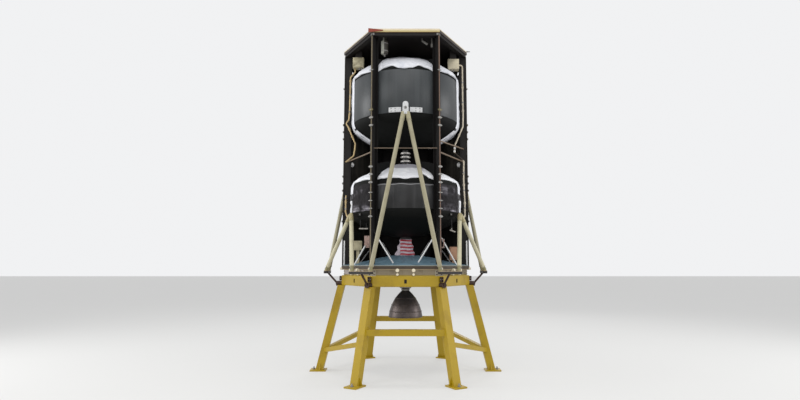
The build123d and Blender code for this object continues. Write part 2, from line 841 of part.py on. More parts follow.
# Blankets
blanket_upper = blanket(upper_tank, upper_blanket_edge, upper_skirt, (30, 150), high_apex, high_arm)
blanket_upper.part.label = "blanket_upper"
export_step(blanket_upper.part, "parts/blanket_upper.step")
blanket_lower = blanket(lower_tank, lower_blanket_edge, lower_skirt, (90,), low_apex, low_arm)
blanket_lower.part.label = "blanket_lower"
export_step(blanket_lower.part, "parts/blanket_lower.step")

# Neck between the tanks: a tube with three flanges
neck_low = lower_tank["top"] + blanket_thickness + neck_gap
neck_high = upper_tank["bottom"] - seat
with BuildPart() as tank_neck:
    with BuildSketch(Plane.XY.offset(neck_low)):
        Circle(neck_radius)
    extrude(amount=neck_high - neck_low)
    for height in neck_flange_heights:
        with BuildSketch(Plane.XY.offset(height - neck_flange_height / 2)):
            Circle(neck_flange_radius)
        extrude(amount=neck_flange_height)
tank_neck.part.label = "tank_neck"
export_step(tank_neck.part, "parts/tank_neck.step")

# Thin white rods round the base, in pairs from the front and rear posts and single at the sides
rod_top = 1625
rod_post_place = post_web_inner + 30
rod_front_foot = Vector(-137, -560, base_top + 28)
rod_side_foot = Vector(-609, -282, base_top + 8)
side_rod_place = post_web_inner + 67
side_rod_length = 300
web_side = post_web_thickness / 2
rod_beside_web = web_side + rod_radius + seat
with BuildPart() as rod_group:
    rod(polar(rod_post_place, 240, rod_top, rod_beside_web), rod_front_foot, rod_radius)
    rod(polar(rod_post_place, 240, rod_top, -rod_beside_web), rod_side_foot, rod_radius)
with BuildPart() as base_rods:
    add(rod_group.part)
    mirror(about=Plane.YZ)
    mirror(about=Plane.XZ)
    for side in (-1, 1):
        start = Vector(side * side_rod_place, -rod_beside_web, flange_top)
        rod(start, start + Vector(0, 0, side_rod_length), rod_radius)
    add(shield_space.part, mode=Mode.SUBTRACT)
base_rods.part.label = "base_rods"
export_step(base_rods.part, "parts/base_rods.step")

# Space between two neighbouring post webs, to which a rod across a face is trimmed
bay_start = web_side / sin(radians(half_face))
bay_corner = polar(body_radius, half_face, 0)
with BuildPart() as bay:
    with BuildSketch(Plane.XY.offset(base_top)):
        Polygon(
            (bay_start, 0),
            (bay_start + bay_corner.X, bay_corner.Y),
            (bay_start + bay_corner.X, -bay_corner.Y),
            align=None,
        )
    extrude(amount=top_frame_bottom - base_top)


def cross_rod(right_height, left_height, radius):
    """Rod across the face at 0 degrees, from the web of its right post to that of its left post."""
    with BuildPart() as bar:
        start = polar(cross_rod_place, -half_face, right_height)
        rod(start, polar(cross_rod_place, half_face, left_height), radius)
        add(bay.part, mode=Mode.INTERSECT)
    return bar.part


# Cross rods: the face, the height at its right and at its left post, and the radius
cross_rod_table = (
    (210, 2560, 2560, side_rod_radius),
    (270, 2595, 2595, front_rod_radius),
    (330, 2560, 2560, side_rod_radius),
    (330, 2690, 2725, side_rod_radius),
)
cross_rod_parts = [(face, cross_rod(*ends_and_radius)) for face, *ends_and_radius in cross_rod_table]
with BuildPart() as cross_rods:
    for face, bar in cross_rod_parts:
        add(bar, rotation=(0, 0, face))
cross_rods.part.label = "cross_rods"
export_step(cross_rods.part, "parts/cross_rods.step")

# Plates on the front posts beside the base rods: a wide one on the left and a loop on the right
plate_place = post_web_inner + 45
plate_thickness = 8
left_plate = {"middle": 1522, "height": 136, "width": 107}
right_plate = {"middle": 1503, "height": 102, "width": 75, "opening": 26}
with BuildPart() as left_rod_plate:
    with BuildSketch(Plane.YZ.offset(plate_place)) as left_face:
        with Locations((-web_side - left_plate["width"] / 2, left_plate["middle"])):
            Rectangle(left_plate["width"], left_plate["height"])
        chamfer(left_face.vertices().group_by(Axis.Y)[0], left_plate["width"] / 4)
    extrude(amount=plate_thickness)
with BuildPart() as right_rod_plate:
    with BuildSketch(Plane.YZ.offset(plate_place)):
        with Locations((web_side + right_plate["width"] / 2, right_plate["middle"])):
            Rectangle(right_plate["width"], right_plate["height"])
            RectangleRounded(
                right_plate["width"] - right_plate["opening"],
                right_plate["height"] - right_plate["opening"],
                right_plate["opening"] / 2,
                mode=Mode.SUBTRACT,
            )
    extrude(amount=plate_thickness)
with BuildPart() as rod_plates:
    add(left_rod_plate.part, rotation=(0, 0, 240))
    add(right_rod_plate.part, rotation=(0, 0, 300))
rod_plates.part.label = "rod_plates"
export_step(rod_plates.part, "parts/rod_plates.step")

# Short rail and tube under the lower tank, each hanging from it on thin stand-offs
rail_line = -300  # front to back place of both
rail_height = lower_tank["low"] - 203
rail_middle = -500
rail_length = 107
rail_side = 14
tube_high_end = Vector(527, rail_line, lower_tank["low"] - 219)
tube_low_end = Vector(593, rail_line, lower_tank["low"] - 243)
standoff_radius = 6
with BuildPart() as tank_rails:
    with BuildSketch(Plane.XY.offset(rail_height - rail_side / 2)):
        with Locations((rail_middle, rail_line)):
            Rectangle(rail_length, rail_side)
    extrude(amount=rail_side)
    rod(tube_high_end, tube_low_end, pipe_radius)
    rail_ends = [
        Vector(rail_middle + side * rail_length / 3, rail_line, rail_height) for side in (-1, 1)
    ]
    for start in rail_ends + [(2 * tube_high_end + tube_low_end) / 3]:
        rod(start, Vector(start.X, start.Y, lower_tank["low"]), standoff_radius)
    add(tank_body(lower_tank, seat), mode=Mode.SUBTRACT)
tank_rails.part.label = "tank_rails"
export_step(tank_rails.part, "parts/tank_rails.step")

# Electronics boxes' places, then the feed pipes beside the side posts: the side to side place and
# the height of each bend, and the heights of the arms that hold them
pipe_line = -100  # front to back place of both pipes
box_height = 127
left_box = {"place": -598, "drop": 54}
right_box = {"place": 608, "drop": 73}
box_width = 140
box_depth = 100
left_route = (
    (-640, top_frame_bottom - left_box["drop"] - box_height),
    (-640, 3700),
    (-698, 3630),
    (-704, 3200),
    (-713, 3076),
    (-750, 3027),
    (-720, 2985),
    (-628, 2765),
    (-635, 2690),
    (-649, 2613),
    (-747, 2535),
)
left_low_route = ((-736, 2117), (-738, 1912), (-717, low_apex + 20))
left_arms = (3400, 3180, 2960)
left_low_arms = (2080, 1950)
right_route = (
    (right_box["place"] + box_width / 2, 3790),
    (724, 3790),
    (723, 3361),
    (725, 3116),
    (720, 2985),
    (618, 2750),
    (611, 2655),
    (726, 2550),
    (721, 2310),
    (732, 2010),
    (730, low_apex + 20),
)
right_arms = (3560, 3300, 2400, 2180, 1960)
pipe_end_place = 698  # where a low pipe reaches the side of its strut fitting


def pipe_path(route):
    """Points in space of a pipe's route."""
    return [Vector(place, pipe_line, height) for place, height in route]


def pipe_arm(route, height):
    """Arm from the side of a post's web to the middle of a pipe at a height, added to the pipe."""
    for upper, lower in zip(route, route[1:]):
        if lower[1] <= height < upper[1]:
            share = (upper[1] - height) / (upper[1] - lower[1])
            place = upper[0] + share * (lower[0] - upper[0])
    with BuildSketch(Plane.XY.offset(height - pipe_arm_side / 2)) as section:
        with Locations((place, (pipe_line - web_side) / 2)):
            Rectangle(pipe_arm_side, -web_side - pipe_line)
    extrude(section.sketch, amount=pipe_arm_side)


with BuildPart() as feed_pipe_left:
    pipe(pipe_path(left_route), pipe_bend, pipe_radius)
    left_end = polar(pipe_end_place, 210, low_apex + 20, -fitting_boss_width / 2)
    pipe(pipe_path(left_low_route) + [left_end], pipe_bend, pipe_radius)
    for height in left_arms:
        pipe_arm(left_route, height)
    for height in left_low_arms:
        pipe_arm(left_low_route, height)
    add(low_fittings.part, mode=Mode.SUBTRACT)
feed_pipe_left.part.label = "feed_pipe_left"
export_step(feed_pipe_left.part, "parts/feed_pipe_left.step")

with BuildPart() as feed_pipe_right:
    right_end = polar(pipe_end_place, 330, low_apex + 20, fitting_boss_width / 2)
    pipe(pipe_path(right_route) + [right_end], pipe_bend, pipe_radius)
    for height in right_arms:
        pipe_arm(right_route, height)
    add(low_fittings.part, mode=Mode.SUBTRACT)
feed_pipe_right.part.label = "feed_pipe_right"
export_step(feed_pipe_right.part, "parts/feed_pipe_right.step")

# Electronics boxes beside the side posts, each on a hanger from the deck
hanger_width = 80
hanger_thickness = 8
with BuildPart() as avionics_boxes:
    for box in (left_box, right_box):
        box_top = top_frame_bottom - box["drop"]
        with BuildSketch(Plane.XY.offset(box_top - box_height)):
            with Locations((box["place"], pipe_line)):
                RectangleRounded(box_width, box_depth, hanger_thickness)
        extrude(amount=box_height)
        with BuildSketch(Plane.XY.offset(box_top)):
            with Locations((box["place"], pipe_line)):
                Rectangle(hanger_width, hanger_thickness)
        extrude(amount=deck_bottom - box_top)
avionics_boxes.part.label = "avionics_boxes"
export_step(avionics_boxes.part, "parts/avionics_boxes.step")

# Boxes on short legs at the base: side to side place, width, lower and upper height
base_box_table = ((-572, 97, 1438, 1550), (574, 88, 1322, 1478))
base_box_line = -205
base_box_depth = 80
base_box_leg = 36
with BuildPart() as base_boxes:
    for place, width, low, high in base_box_table:
        with BuildSketch(Plane.XY.offset(low)):
            with Locations((place, base_box_line)):
                Rectangle(width, base_box_depth)
        extrude(amount=high - low)
        with BuildSketch(Plane.XY.offset(flange_top)):
            with Locations((place, base_box_line)):
                Rectangle(base_box_leg, base_box_leg)
        extrude(amount=low - flange_top)
    add(shield_space.part, mode=Mode.SUBTRACT)
base_boxes.part.label = "base_boxes"
export_step(base_boxes.part, "parts/base_boxes.step")

# Canister hanging from the top deck behind the front edge
canister_place = (-250, -520)
canister_radius = 41
canister_height = 166
canister_round = 14
with BuildPart() as canister:
    with BuildSketch(Plane.XY.offset(top_frame_bottom - canister_height)):
        with Locations(canister_place):
            Circle(canister_radius)
    extrude(amount=canister_height)
    fillet(canister.edges().filter_by(GeomType.CIRCLE), canister_round)
    with BuildSketch(Plane.XY.offset(top_frame_bottom)):
        with Locations(canister_place):
            Circle(canister_radius / 2)
    extrude(amount=deck_bottom - top_frame_bottom)
canister.part.label = "canister"
export_step(canister.part, "parts/canister.step")

# Two cable connectors hanging from the deck behind the front edge: top and bottom of each plug
plug_table = (((200, 3940), (264, 3897)), ((316, 3903), (316, 3865)))
plug_line = -500
plug_radius = 12
cable_radius = 5
with BuildPart() as connectors:
    for (top_place, top), (low_place, low) in plug_table:
        rod(Vector(top_place, plug_line, top), Vector(low_place, plug_line, low), plug_radius)
        rod(Vector(top_place, plug_line, top), Vector(top_place, plug_line, deck_bottom), cable_radius)
connectors.part.label = "connectors"
export_step(connectors.part, "parts/connectors.step")

# Striped cover standing on the heat shield under the lower tank
cover_foot_radius = 115
cover_head_radius = 66
cover_foot = flange_top + shield_rise + seat
cover_head = lower_tank["bottom"] - seat
with BuildPart() as sump_cover:
    with BuildSketch(Plane.XZ):
        Polygon(
            (0, cover_foot),
            (cover_foot_radius, cover_foot),
            (cover_head_radius, cover_head),
            (0, cover_head),
            align=None,
        )
    revolve(axis=Axis.Z)
sump_cover.part.label = "sump_cover"
export_step(sump_cover.part, "parts/sump_cover.step")

# Tabs on the lip: a flat vane on its right corner and a tapering tab on its front, at the left
lip_top = lip_bottom + lip_height
tab_thickness = 8
vane_start = 788
vane_end = 838
with BuildPart() as lip_tabs:
    with BuildSketch(Plane.XY.offset(lip_top)):
        Polygon((vane_start, -14), (vane_end, -4), (vane_end, 4), (vane_start, 14), align=None)
    extrude(amount=tab_thickness)
    with BuildSketch(Plane.XZ.offset(lip_radius * flat_of_corner)):
        Polygon(
            (-435, lip_bottom - 3),
            (-263, lip_bottom + 18),
            (-263, lip_bottom + 26),
            (-435, lip_top + 3),
            align=None,
        )
    extrude(amount=tab_thickness)
lip_tabs.part.label = "lip_tabs"
export_step(lip_tabs.part, "parts/lip_tabs.step")
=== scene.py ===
# %% [markdown]
# # A lunar lander body on its stand
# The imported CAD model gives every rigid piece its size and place. This notebook dresses it: paint, woven
# composite, insulation blankets, film, fasteners and the soft light of a white assembly hall. Each step
# says what the real thing is, how it could be made, and why it is made this way.

# %% Load the frame
import json
import math
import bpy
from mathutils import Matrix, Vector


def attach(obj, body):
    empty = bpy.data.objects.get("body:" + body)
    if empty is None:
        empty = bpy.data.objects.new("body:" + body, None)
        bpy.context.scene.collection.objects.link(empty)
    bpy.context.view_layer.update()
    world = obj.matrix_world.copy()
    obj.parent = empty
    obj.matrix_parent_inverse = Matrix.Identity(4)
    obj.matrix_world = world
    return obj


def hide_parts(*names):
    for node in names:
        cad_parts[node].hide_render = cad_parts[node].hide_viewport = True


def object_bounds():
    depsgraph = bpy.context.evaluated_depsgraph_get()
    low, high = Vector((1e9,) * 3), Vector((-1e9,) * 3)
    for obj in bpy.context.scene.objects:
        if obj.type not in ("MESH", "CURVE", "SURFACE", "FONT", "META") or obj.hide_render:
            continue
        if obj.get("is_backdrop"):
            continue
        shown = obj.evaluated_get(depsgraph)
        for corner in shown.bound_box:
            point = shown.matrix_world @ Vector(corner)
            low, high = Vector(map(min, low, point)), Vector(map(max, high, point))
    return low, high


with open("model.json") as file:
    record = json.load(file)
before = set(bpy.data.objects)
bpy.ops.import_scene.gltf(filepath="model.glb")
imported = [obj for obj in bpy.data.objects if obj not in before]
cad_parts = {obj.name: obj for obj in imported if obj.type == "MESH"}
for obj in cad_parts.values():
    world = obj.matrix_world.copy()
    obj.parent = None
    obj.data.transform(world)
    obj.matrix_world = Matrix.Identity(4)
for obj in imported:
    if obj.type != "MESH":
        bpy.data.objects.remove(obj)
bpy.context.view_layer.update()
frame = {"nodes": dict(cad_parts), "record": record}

from types import SimpleNamespace

import bpy
from mathutils import Vector, noise

nodes = frame["nodes"]

# %% [markdown]
# ## The camera
# The picture was taken with a wide lens, standing about six and a half metres away, a little above the
# rim of the stand and tilted up. A wide lens close by makes the front corners spread more than the rear
# ones, so the distance matters as much as the angle. A small sideways shift puts the axis where it was.

# %% Camera
picture_width = 800
axis_pixel = 405.5
lens_mm = 24
camera_distance = 6.64
camera_height = 1.25
camera_tilt = math.radians(7.06)

camera_data = bpy.data.cameras.new("camera")
camera_data.lens = lens_mm
camera_data.sensor_width = 36
camera_data.shift_x = (picture_width / 2 - axis_pixel) / picture_width
camera = bpy.data.objects.new("camera", camera_data)
camera.location = (0, -camera_distance, camera_height)
camera.rotation_euler = (math.pi / 2 + camera_tilt, 0, 0)
bpy.context.scene.collection.objects.link(camera)
bpy.context.scene.camera = camera
bpy.context.scene.view_settings.view_transform = "Standard"
print("Camera:", lens_mm, "mm lens,", camera_distance, "m away")

# %% [markdown]
# ## Shader expressions
# A material is a small program on nodes. Writing it as Python arithmetic keeps it readable: one class
# wraps an output socket, and an expression such as `1 - mask` adds the Math node that works it out.


# %% Shader expressions
class Wire:
    """An output socket of a shader node, which Python arithmetic can use."""

    def __init__(self, tree, socket):
        self.tree, self.socket = tree, socket

    def node(self, kind, settings, inputs, output=0):
        """Adds a node: its settings first, then the values or links of its sockets."""
        made = self.tree.nodes.new(kind)
        for key, value in settings.items():
            setattr(made, key, value)
        for key, value in inputs.items():
            if isinstance(value, Wire):
                self.tree.links.new(value.socket, made.inputs[key])
            else:
                made.inputs[key].default_value = value
        return Wire(self.tree, made.outputs[output])

    def math(self, operation, *others):
        inputs = {0: self}
        for index, other in enumerate(others):
            inputs[index + 1] = other
        return self.node("ShaderNodeMath", {"operation": operation}, inputs)

    def __add__(self, other):
        return self.math("ADD", other)

    __radd__ = __add__

    def __mul__(self, other):
        return self.math("MULTIPLY", other)

    __rmul__ = __mul__

    def __sub__(self, other):
        return self.math("SUBTRACT", other)

    def __rsub__(self, other):
        return (self * -1) + other

    def clamp(self):
        return self.node("ShaderNodeClamp", {}, {"Value": self})

    def size(self):
        return self.math("ABSOLUTE")

    def between(self, low, high, soft=0.001):
        """1 from low to high and 0 outside, soft at both ends."""
        return self.step(low - soft, low + soft) * (1 - self.step(high - soft, high + soft))

    def step(self, low, high):
        """0 below low, 1 above high, smooth between."""
        settings = {"interpolation_type": "SMOOTHSTEP"}
        inputs = {"Value": self, "From Min": low, "From Max": high}
        return self.node("ShaderNodeMapRange", settings, inputs)


def srgb(red, green, blue):
    """A screen colour from 0 to 255 as the linear colour that the shader wants."""
    out = []
    for value in (red, green, blue):
        v = value / 255
        out.append(v / 12.92 if v <= 0.04045 else ((v + 0.055) / 1.055) ** 2.4)
    return tuple(out)


print("Mid grey on the screen is", round(srgb(128, 128, 128)[0], 3), "as light")

# %% [markdown]
# ## A finish from a few layers
# Paint, composite and film share the same bones: a base colour, a second colour mixed in by a noise mask,
# a roughness that varies a little, and a fine bump. One function builds these bones on the place of each
# point in metres, so that no piece needs UVs, and each finish adds its own pattern.


# %% Material bones
finish = {}


def start(name):
    """A new finish, kept under its name: its shader node and the place of each point in metres."""
    finish[name] = bpy.data.materials.new(name)
    finish[name].use_nodes = True
    tree = finish[name].node_tree
    place = tree.nodes.new("ShaderNodeTexCoord")
    return tree.nodes["Principled BSDF"], Wire(tree, place.outputs["Object"])


def grain(place, scale, detail=4.0, roughness=0.55, stretch=(1, 1, 1)):
    """Noise from 0 to 1, a number of grains in a metre, stretched along the axes."""
    mapped = place.node("ShaderNodeMapping", {}, {"Vector": place, "Scale": stretch})
    inputs = {"Vector": mapped, "Scale": scale, "Detail": detail, "Roughness": roughness}
    return place.node("ShaderNodeTexNoise", {}, inputs)


def blend(mask, first, second):
    """First colour where the mask is 0, second where it is 1."""
    wires = {0: mask}
    for index, colour in ((6, first), (7, second)):
        wires[index] = colour if isinstance(colour, Wire) else (*colour, 1)
    settings = {"data_type": "RGBA"}
    return mask.node("ShaderNodeMix", settings, wires, output=2)


def bump(height, distance, strength):
    """A bump from a height from 0 to 1, its full depth given in metres."""
    return height.node("ShaderNodeBump", {}, {"Height": height, "Distance": distance, "Strength": strength})


def spread(mask, low, high):
    """A value from low to high that follows a mask."""
    return mask.math("MULTIPLY_ADD", high - low, low)


def connect(shader, **wires):
    """Feeds the shader's sockets: a wire becomes a link and a number is set on the socket."""
    for key, value in wires.items():
        socket = shader.inputs[key.replace("_", " ")]
        if isinstance(value, Wire):
            value.tree.links.new(value.socket, socket)
        else:
            socket.default_value = value


def axes(place):
    """A place's three numbers and its distance from the vertical axis."""
    tree = place.tree
    split = tree.nodes.new("ShaderNodeSeparateXYZ")
    tree.links.new(place.socket, split.inputs[0])
    x, y, z = (Wire(tree, split.outputs[i]) for i in range(3))
    return SimpleNamespace(spot=place, x=x, y=y, z=z, r=(x * x + y * y).math("SQRT"))


def right(p):
    """1 on the right half of the lander, where the hall's light is warmer."""
    return p.x.step(0, 0.01)


def above(low, high):
    """A zone over a height, its edge between low and high."""
    return lambda p: p.z.step(low, high)


def below(low, high):
    """A zone under a height, its edge between low and high."""
    return lambda p: 1 - p.z.step(low, high)


def band(low, high):
    """A zone from one height to another."""
    return lambda p: p.z.between(low, high)


def coloured(place, mask, colour, worn, zones):
    """A colour with a worn one, then (where, colour) zones over them, each worn by the same mask."""
    mixed = blend(mask, srgb(*colour), srgb(*worn))
    spot = axes(place) if zones else None
    for where, zone_colour in zones:
        tint = srgb(*zone_colour)
        mixed = blend(where(spot), mixed, blend(mask, tint, tuple(0.68 * c for c in tint)))
    return mixed


print("Material bones: start, grain, blend, bump, spread, connect, axes, coloured")
print("Zones: right, above, below, band")

# %% [markdown]
# ## Paint, metal and cloth
# Three recipes cover nearly everything on the lander. Paint and bare metal get broad stains and fine
# scuffs. Composite shows its twill under resin, with long streaks where the mandrel's cloth was laid.
# Blanket cloth is matt and creased, and the creases are darker because dust and shadow stay in them.


# %% Recipes
def painted(
    name, colour, worn, wear=0.3, metallic=0.0, rough=(0.4, 0.6), scale=9, coat=0.0, shine=0.4, zones=()
):
    """Paint or bare metal: broad stains, fine scuffs and a slightly uneven gloss."""
    shader, place = start(name)
    broad = grain(place, scale, 5)
    fine = grain(place, scale * 14, 3)
    mask = (broad.step(0.48, 0.72) * wear + fine.step(0.56, 0.75) * (wear * 0.6)).clamp()
    connect(
        shader,
        Base_Color=coloured(place, mask, colour, worn, zones),
        Roughness=spread(broad, *rough),
        Metallic=metallic,
        Normal=bump(fine, 0.0006, 0.35),
        Specular_IOR_Level=shine,
        Coat_Weight=coat,
        Coat_Roughness=0.2,
    )


def woven(name, colour, light, weave=260, rough=(0.3, 0.5), streak=0.0, coat=0.0, shine=0.2, zones=()):
    """Composite cloth under resin: a fine twill, long vertical streaks and a soft shine."""
    shader, place = start(name)
    twill = place.node(
        "ShaderNodeTexWave",
        {"wave_type": "BANDS", "bands_direction": "DIAGONAL"},
        {"Vector": place, "Scale": weave, "Distortion": 0.6, "Detail": 1.0},
        "Fac",
    )
    cloud = grain(place, 2.2, 5)
    lines = grain(place, 12, 4, 0.6, (1, 1, 0.05))
    mask = (twill * 0.18 + cloud.step(0.35, 0.75) * 0.35 + lines.step(0.45, 0.7) * streak).clamp()
    connect(
        shader,
        Base_Color=coloured(place, mask, colour, light, zones),
        Roughness=spread(cloud, *rough),
        Normal=bump(twill, 0.0004, 0.3),
        Specular_IOR_Level=shine,
        Coat_Weight=coat,
        Coat_Roughness=0.25,
    )


def creased(name, colour, shade, crease=18, deep=0.004, rough=(0.55, 0.75), zones=()):
    """Thin layered cloth: matt, with fine sharp creases that hold a darker line."""
    shader, place = start(name)
    broad = grain(place, 6, 5, 0.6)
    ridge = (grain(place, crease, 4, 0.6) - 0.5).size()
    line = 1 - ridge.step(0.0, 0.045)
    mask = (broad.step(0.42, 0.72) * 0.55 + line * 0.35).clamp()
    connect(
        shader,
        Base_Color=coloured(place, mask, colour, shade, zones),
        Roughness=spread(broad, *rough),
        Normal=bump(ridge.step(0.0, 0.12), deep, 0.5),
    )


print("Recipes: painted, woven, creased")

# %% [markdown]
# ## Metals and paints
# The colours come from looking at each part under the hall's pale light. One part often has two: a fitting
# is white where it was painted and olive where the bare socket starts, so a zone says where the second
# colour goes.


# %% Metals and paints
def ring_slot_shade(p):
    """1 on the walls of the six lifting slots in the stand's ring: unpainted primer, painted darker as the
    shade inside.
    """
    inside = 0
    for angle in (30, 90, 150):
        cosine, sine = math.cos(math.radians(angle)), math.sin(math.radians(angle))
        depth = (p.x * cosine + p.y * sine).size()
        across = (p.y * cosine - p.x * sine).size()
        inside = inside + depth.between(0.640, 0.692) * (1 - across.step(0.0145, 0.0150))
    return inside * p.z.between(1.057, 1.103)


# The slot walls' dark colour is painted shade inside the slots, over their bare primer.
painted(
    "stand_yellow", (166, 138, 6), (122, 95, 5), wear=0.4, rough=(0.35, 0.55), scale=5, coat=0.12,
    zones=[(ring_slot_shade, (34, 28, 20))],
)
painted("brown_metal", (58, 40, 32), (28, 22, 20), wear=0.5, metallic=0.3)
painted("block_grey", (150, 144, 128), (110, 100, 80), wear=0.4, metallic=0.3)
painted(
    "adapter_pale", (130, 119, 98), (88, 76, 56), wear=0.6, metallic=0.2,
    zones=[
        (lambda p: 1 - p.x.step(-0.50, -0.47), (172, 164, 160)),
        (band(1.13, 1.151), (150, 132, 60)),
    ],
)
painted(
    "rim_brown", (66, 55, 42), (44, 36, 28), wear=0.5, metallic=0.2,
    zones=[(band(1.203, 1.216), (142, 126, 98))],
)
painted(
    "lip_gold", (198, 186, 160), (166, 150, 116), wear=0.4, metallic=0.1, rough=(0.4, 0.55),
    zones=[
        (below(3.986, 3.990), (172, 158, 108)),
        (below(3.969, 3.971), (110, 82, 50)),
        (lambda p: p.x.size().step(0.402, 0.405) * (1 - p.z.step(3.996, 4.0)), (48, 38, 32)),
    ],
)
painted("fitting_white", (214, 214, 212), (166, 164, 158))
# The hole caps' white is painted brighter than fitting_white, as painted light on caps that sit in the bay's
# shade.
painted("cap_white_lit", (246, 246, 244), (220, 219, 214), wear=0.2)
# The struts share one olive paint: the high struts' finish is painted darker and the low struts' lighter, as
# painted light and shade.
painted("strut_olive", (151, 145, 120), (122, 115, 88), wear=0.35, rough=(0.45, 0.6), scale=7)
painted("strut_olive_lit", (188, 182, 154), (150, 143, 114), wear=0.35, rough=(0.45, 0.6), scale=7)
painted(
    "rod_white", (222, 222, 222), (176, 176, 172), metallic=0.1,
    zones=[(band(1.570, 1.66), (34, 30, 28))],
)
painted(
    "pipe_gold", (176, 154, 112), (118, 96, 64), wear=0.5, metallic=0.3, rough=(0.35, 0.5), scale=20,
    zones=[
        (right, (184, 174, 156)),
        (lambda p: p.z.between(2.556, 2.652, 0.006) * right(p), (46, 38, 30)),
    ],
)
painted("plate_tan", (138, 112, 102), (60, 44, 37), wear=0.9, rough=(0.45, 0.6), scale=24)
painted("engine_metal", (150, 148, 144), (96, 90, 84), wear=0.4, metallic=0.8, rough=(0.3, 0.5))
painted("nozzle_dark", (88, 80, 78), (52, 46, 50), wear=0.5, metallic=0.75, rough=(0.35, 0.55))
painted("vane_grey", (136, 134, 132), (96, 94, 92), wear=0.4, metallic=0.4)
print("Metals and paints:", len(finish))

# %% [markdown]
# ## Parts with a second colour
# These finishes belong to one kind of part each. The electronics boxes are mottled, the foot bars are dark
# with a tan top that is a painted highlight, and the clips are grey with an olive one at the strut fitting.

# %% Parts with a second colour
painted(
    "box_beige", (176, 168, 140), (88, 78, 56), wear=0.8, rough=(0.45, 0.6), scale=15,
    zones=[
        (right, (196, 187, 162)),
        (above(3.876, 3.878), (34, 30, 28)),
        (lambda p: p.z.step(3.857, 3.859) * right(p), (34, 30, 28)),
    ],
)
painted(
    "base_box", (168, 160, 132), (118, 108, 84), wear=0.6, rough=(0.45, 0.6), scale=20,
    zones=[(right, (162, 124, 98))],
)
painted(
    "canister_skin", (46, 42, 36), (30, 28, 24), wear=0.5, rough=(0.4, 0.55), scale=20,
    zones=[(lambda p: 1 - p.x.step(-0.262, -0.250), (150, 150, 140))],
)
painted(
    "clevis_tan", (158, 148, 112), (112, 102, 76), wear=0.4, metallic=0.1,
    zones=[(lambda p: 1 - p.r.step(0.734, 0.736), (30, 27, 25))],
)
painted(
    "high_fitting", (196, 197, 198), (150, 149, 147), rough=(0.45, 0.6),
    zones=[
        (lambda p: (1 - p.z.step(2.988, 2.991)) * p.x.size().step(0.017, 0.019), (152, 146, 118)),
        (below(2.960, 2.964), (152, 146, 118)),
        (lambda p: p.x.size().between(0.036, 0.052) * (1 - p.r.step(0.70, 0.71)), (58, 58, 58)),
    ],
)
# The tan band near the bar's top is a painted highlight along its upper edge.
painted(
    "foot_bar", (34, 30, 28), (60, 52, 44), wear=0.5, rough=(0.5, 0.7),
    zones=[
        (above(1.190, 1.192), (168, 150, 122)),
        (above(1.1965, 1.198), (132, 126, 92)),
    ],
)
painted(
    "lip_tab", (140, 140, 140), (96, 94, 92), wear=0.4, metallic=0.4,
    zones=[(lambda p: 1 - right(p), (120, 52, 38))],
)
painted(
    "clip_grey", (140, 138, 134), (92, 90, 86), wear=0.4, metallic=0.3,
    zones=[(band(3.018, 3.05), (108, 100, 70))],
)
painted("cross_rod", (118, 102, 86), (84, 70, 58), wear=0.4, metallic=0.1)
painted(
    "rail_metal", (168, 164, 156), (110, 106, 100), wear=0.4, metallic=0.3, rough=(0.4, 0.55), scale=20,
    zones=[(above(1.701, 1.703), (30, 28, 28))],
)
painted(
    "neck_metal", (206, 202, 198), (140, 134, 128), metallic=0.4, rough=(0.3, 0.45), scale=20,
    zones=[(lambda p: 1 - p.r.step(0.0405, 0.0415), (46, 44, 44))],
)
painted("plug_grey", (120, 118, 114), (80, 78, 76), wear=0.4, metallic=0.1)
painted("knob_cream", (226, 216, 190), (176, 164, 136))
print("Finishes so far:", len(finish))

# %% [markdown]
# ## Composites, film and blankets
# Tank domes are nearly black and matt. The barrels are smoother and a little lighter, with streaks and
# seams. Panels and posts are the same dark cloth. The posts have a pale line down their caps that is a
# painted highlight, tan on the left and browner on the right, where the light is warmer; the side posts are
# painted lighter where more of the hall's light falls on them.


# %% Composites, film and blankets
def cap_highlight_line(p):
    """1 on the raised middle line of each post's cap, where a highlight is painted."""
    across = (p.x.size() * 0.866 - p.y.size() * 0.5).size().math("MINIMUM", p.y.size())
    return p.r.step(0.7725, 0.7735) * (1 - across.step(0.0045, 0.0065))


def painted_glint(p):
    """Painted highlights on crumpled film: broad soft patches along level creases, most of them low down."""
    creases = grain(p.spot, 15, 3, 0.6, (0.5, 0.5, 3.4))
    broad = grain(p.spot, 6, 2) + p.x * 0.12
    low_edge = (1 - p.z.step(1.900, 1.990)) * broad.step(0.34, 0.56)
    upper_patch = p.z.between(2.11, 2.15, 0.06) * broad.step(0.50, 0.64)
    return ((low_edge + upper_patch * 0.7) * (0.25 + 0.75 * creases.step(0.38, 0.66))).clamp()


def tape_gap(p, low, high):
    """1 where a patch of dark film laps over the white edge tape."""
    return (p.z + grain(p.spot, 26, 3) * 0.030 - 0.015).between(low, high, 0.003)


def barrel_pale_line(p):
    """1 on a pale, slightly wavy line near the top of the lower barrel."""
    return (p.z + (p.x * 31).math("SINE") * 0.004).between(2.170, 2.178, 0.003)


def stripes(p):
    """1 on the red stripes of the cover, which leave its left side plain."""
    level = (p.z * 150 + (p.x * 40).math("SINE") * 0.5).math("SINE")
    return level.step(-0.1, 0.25) * p.x.step(-0.068, -0.062)


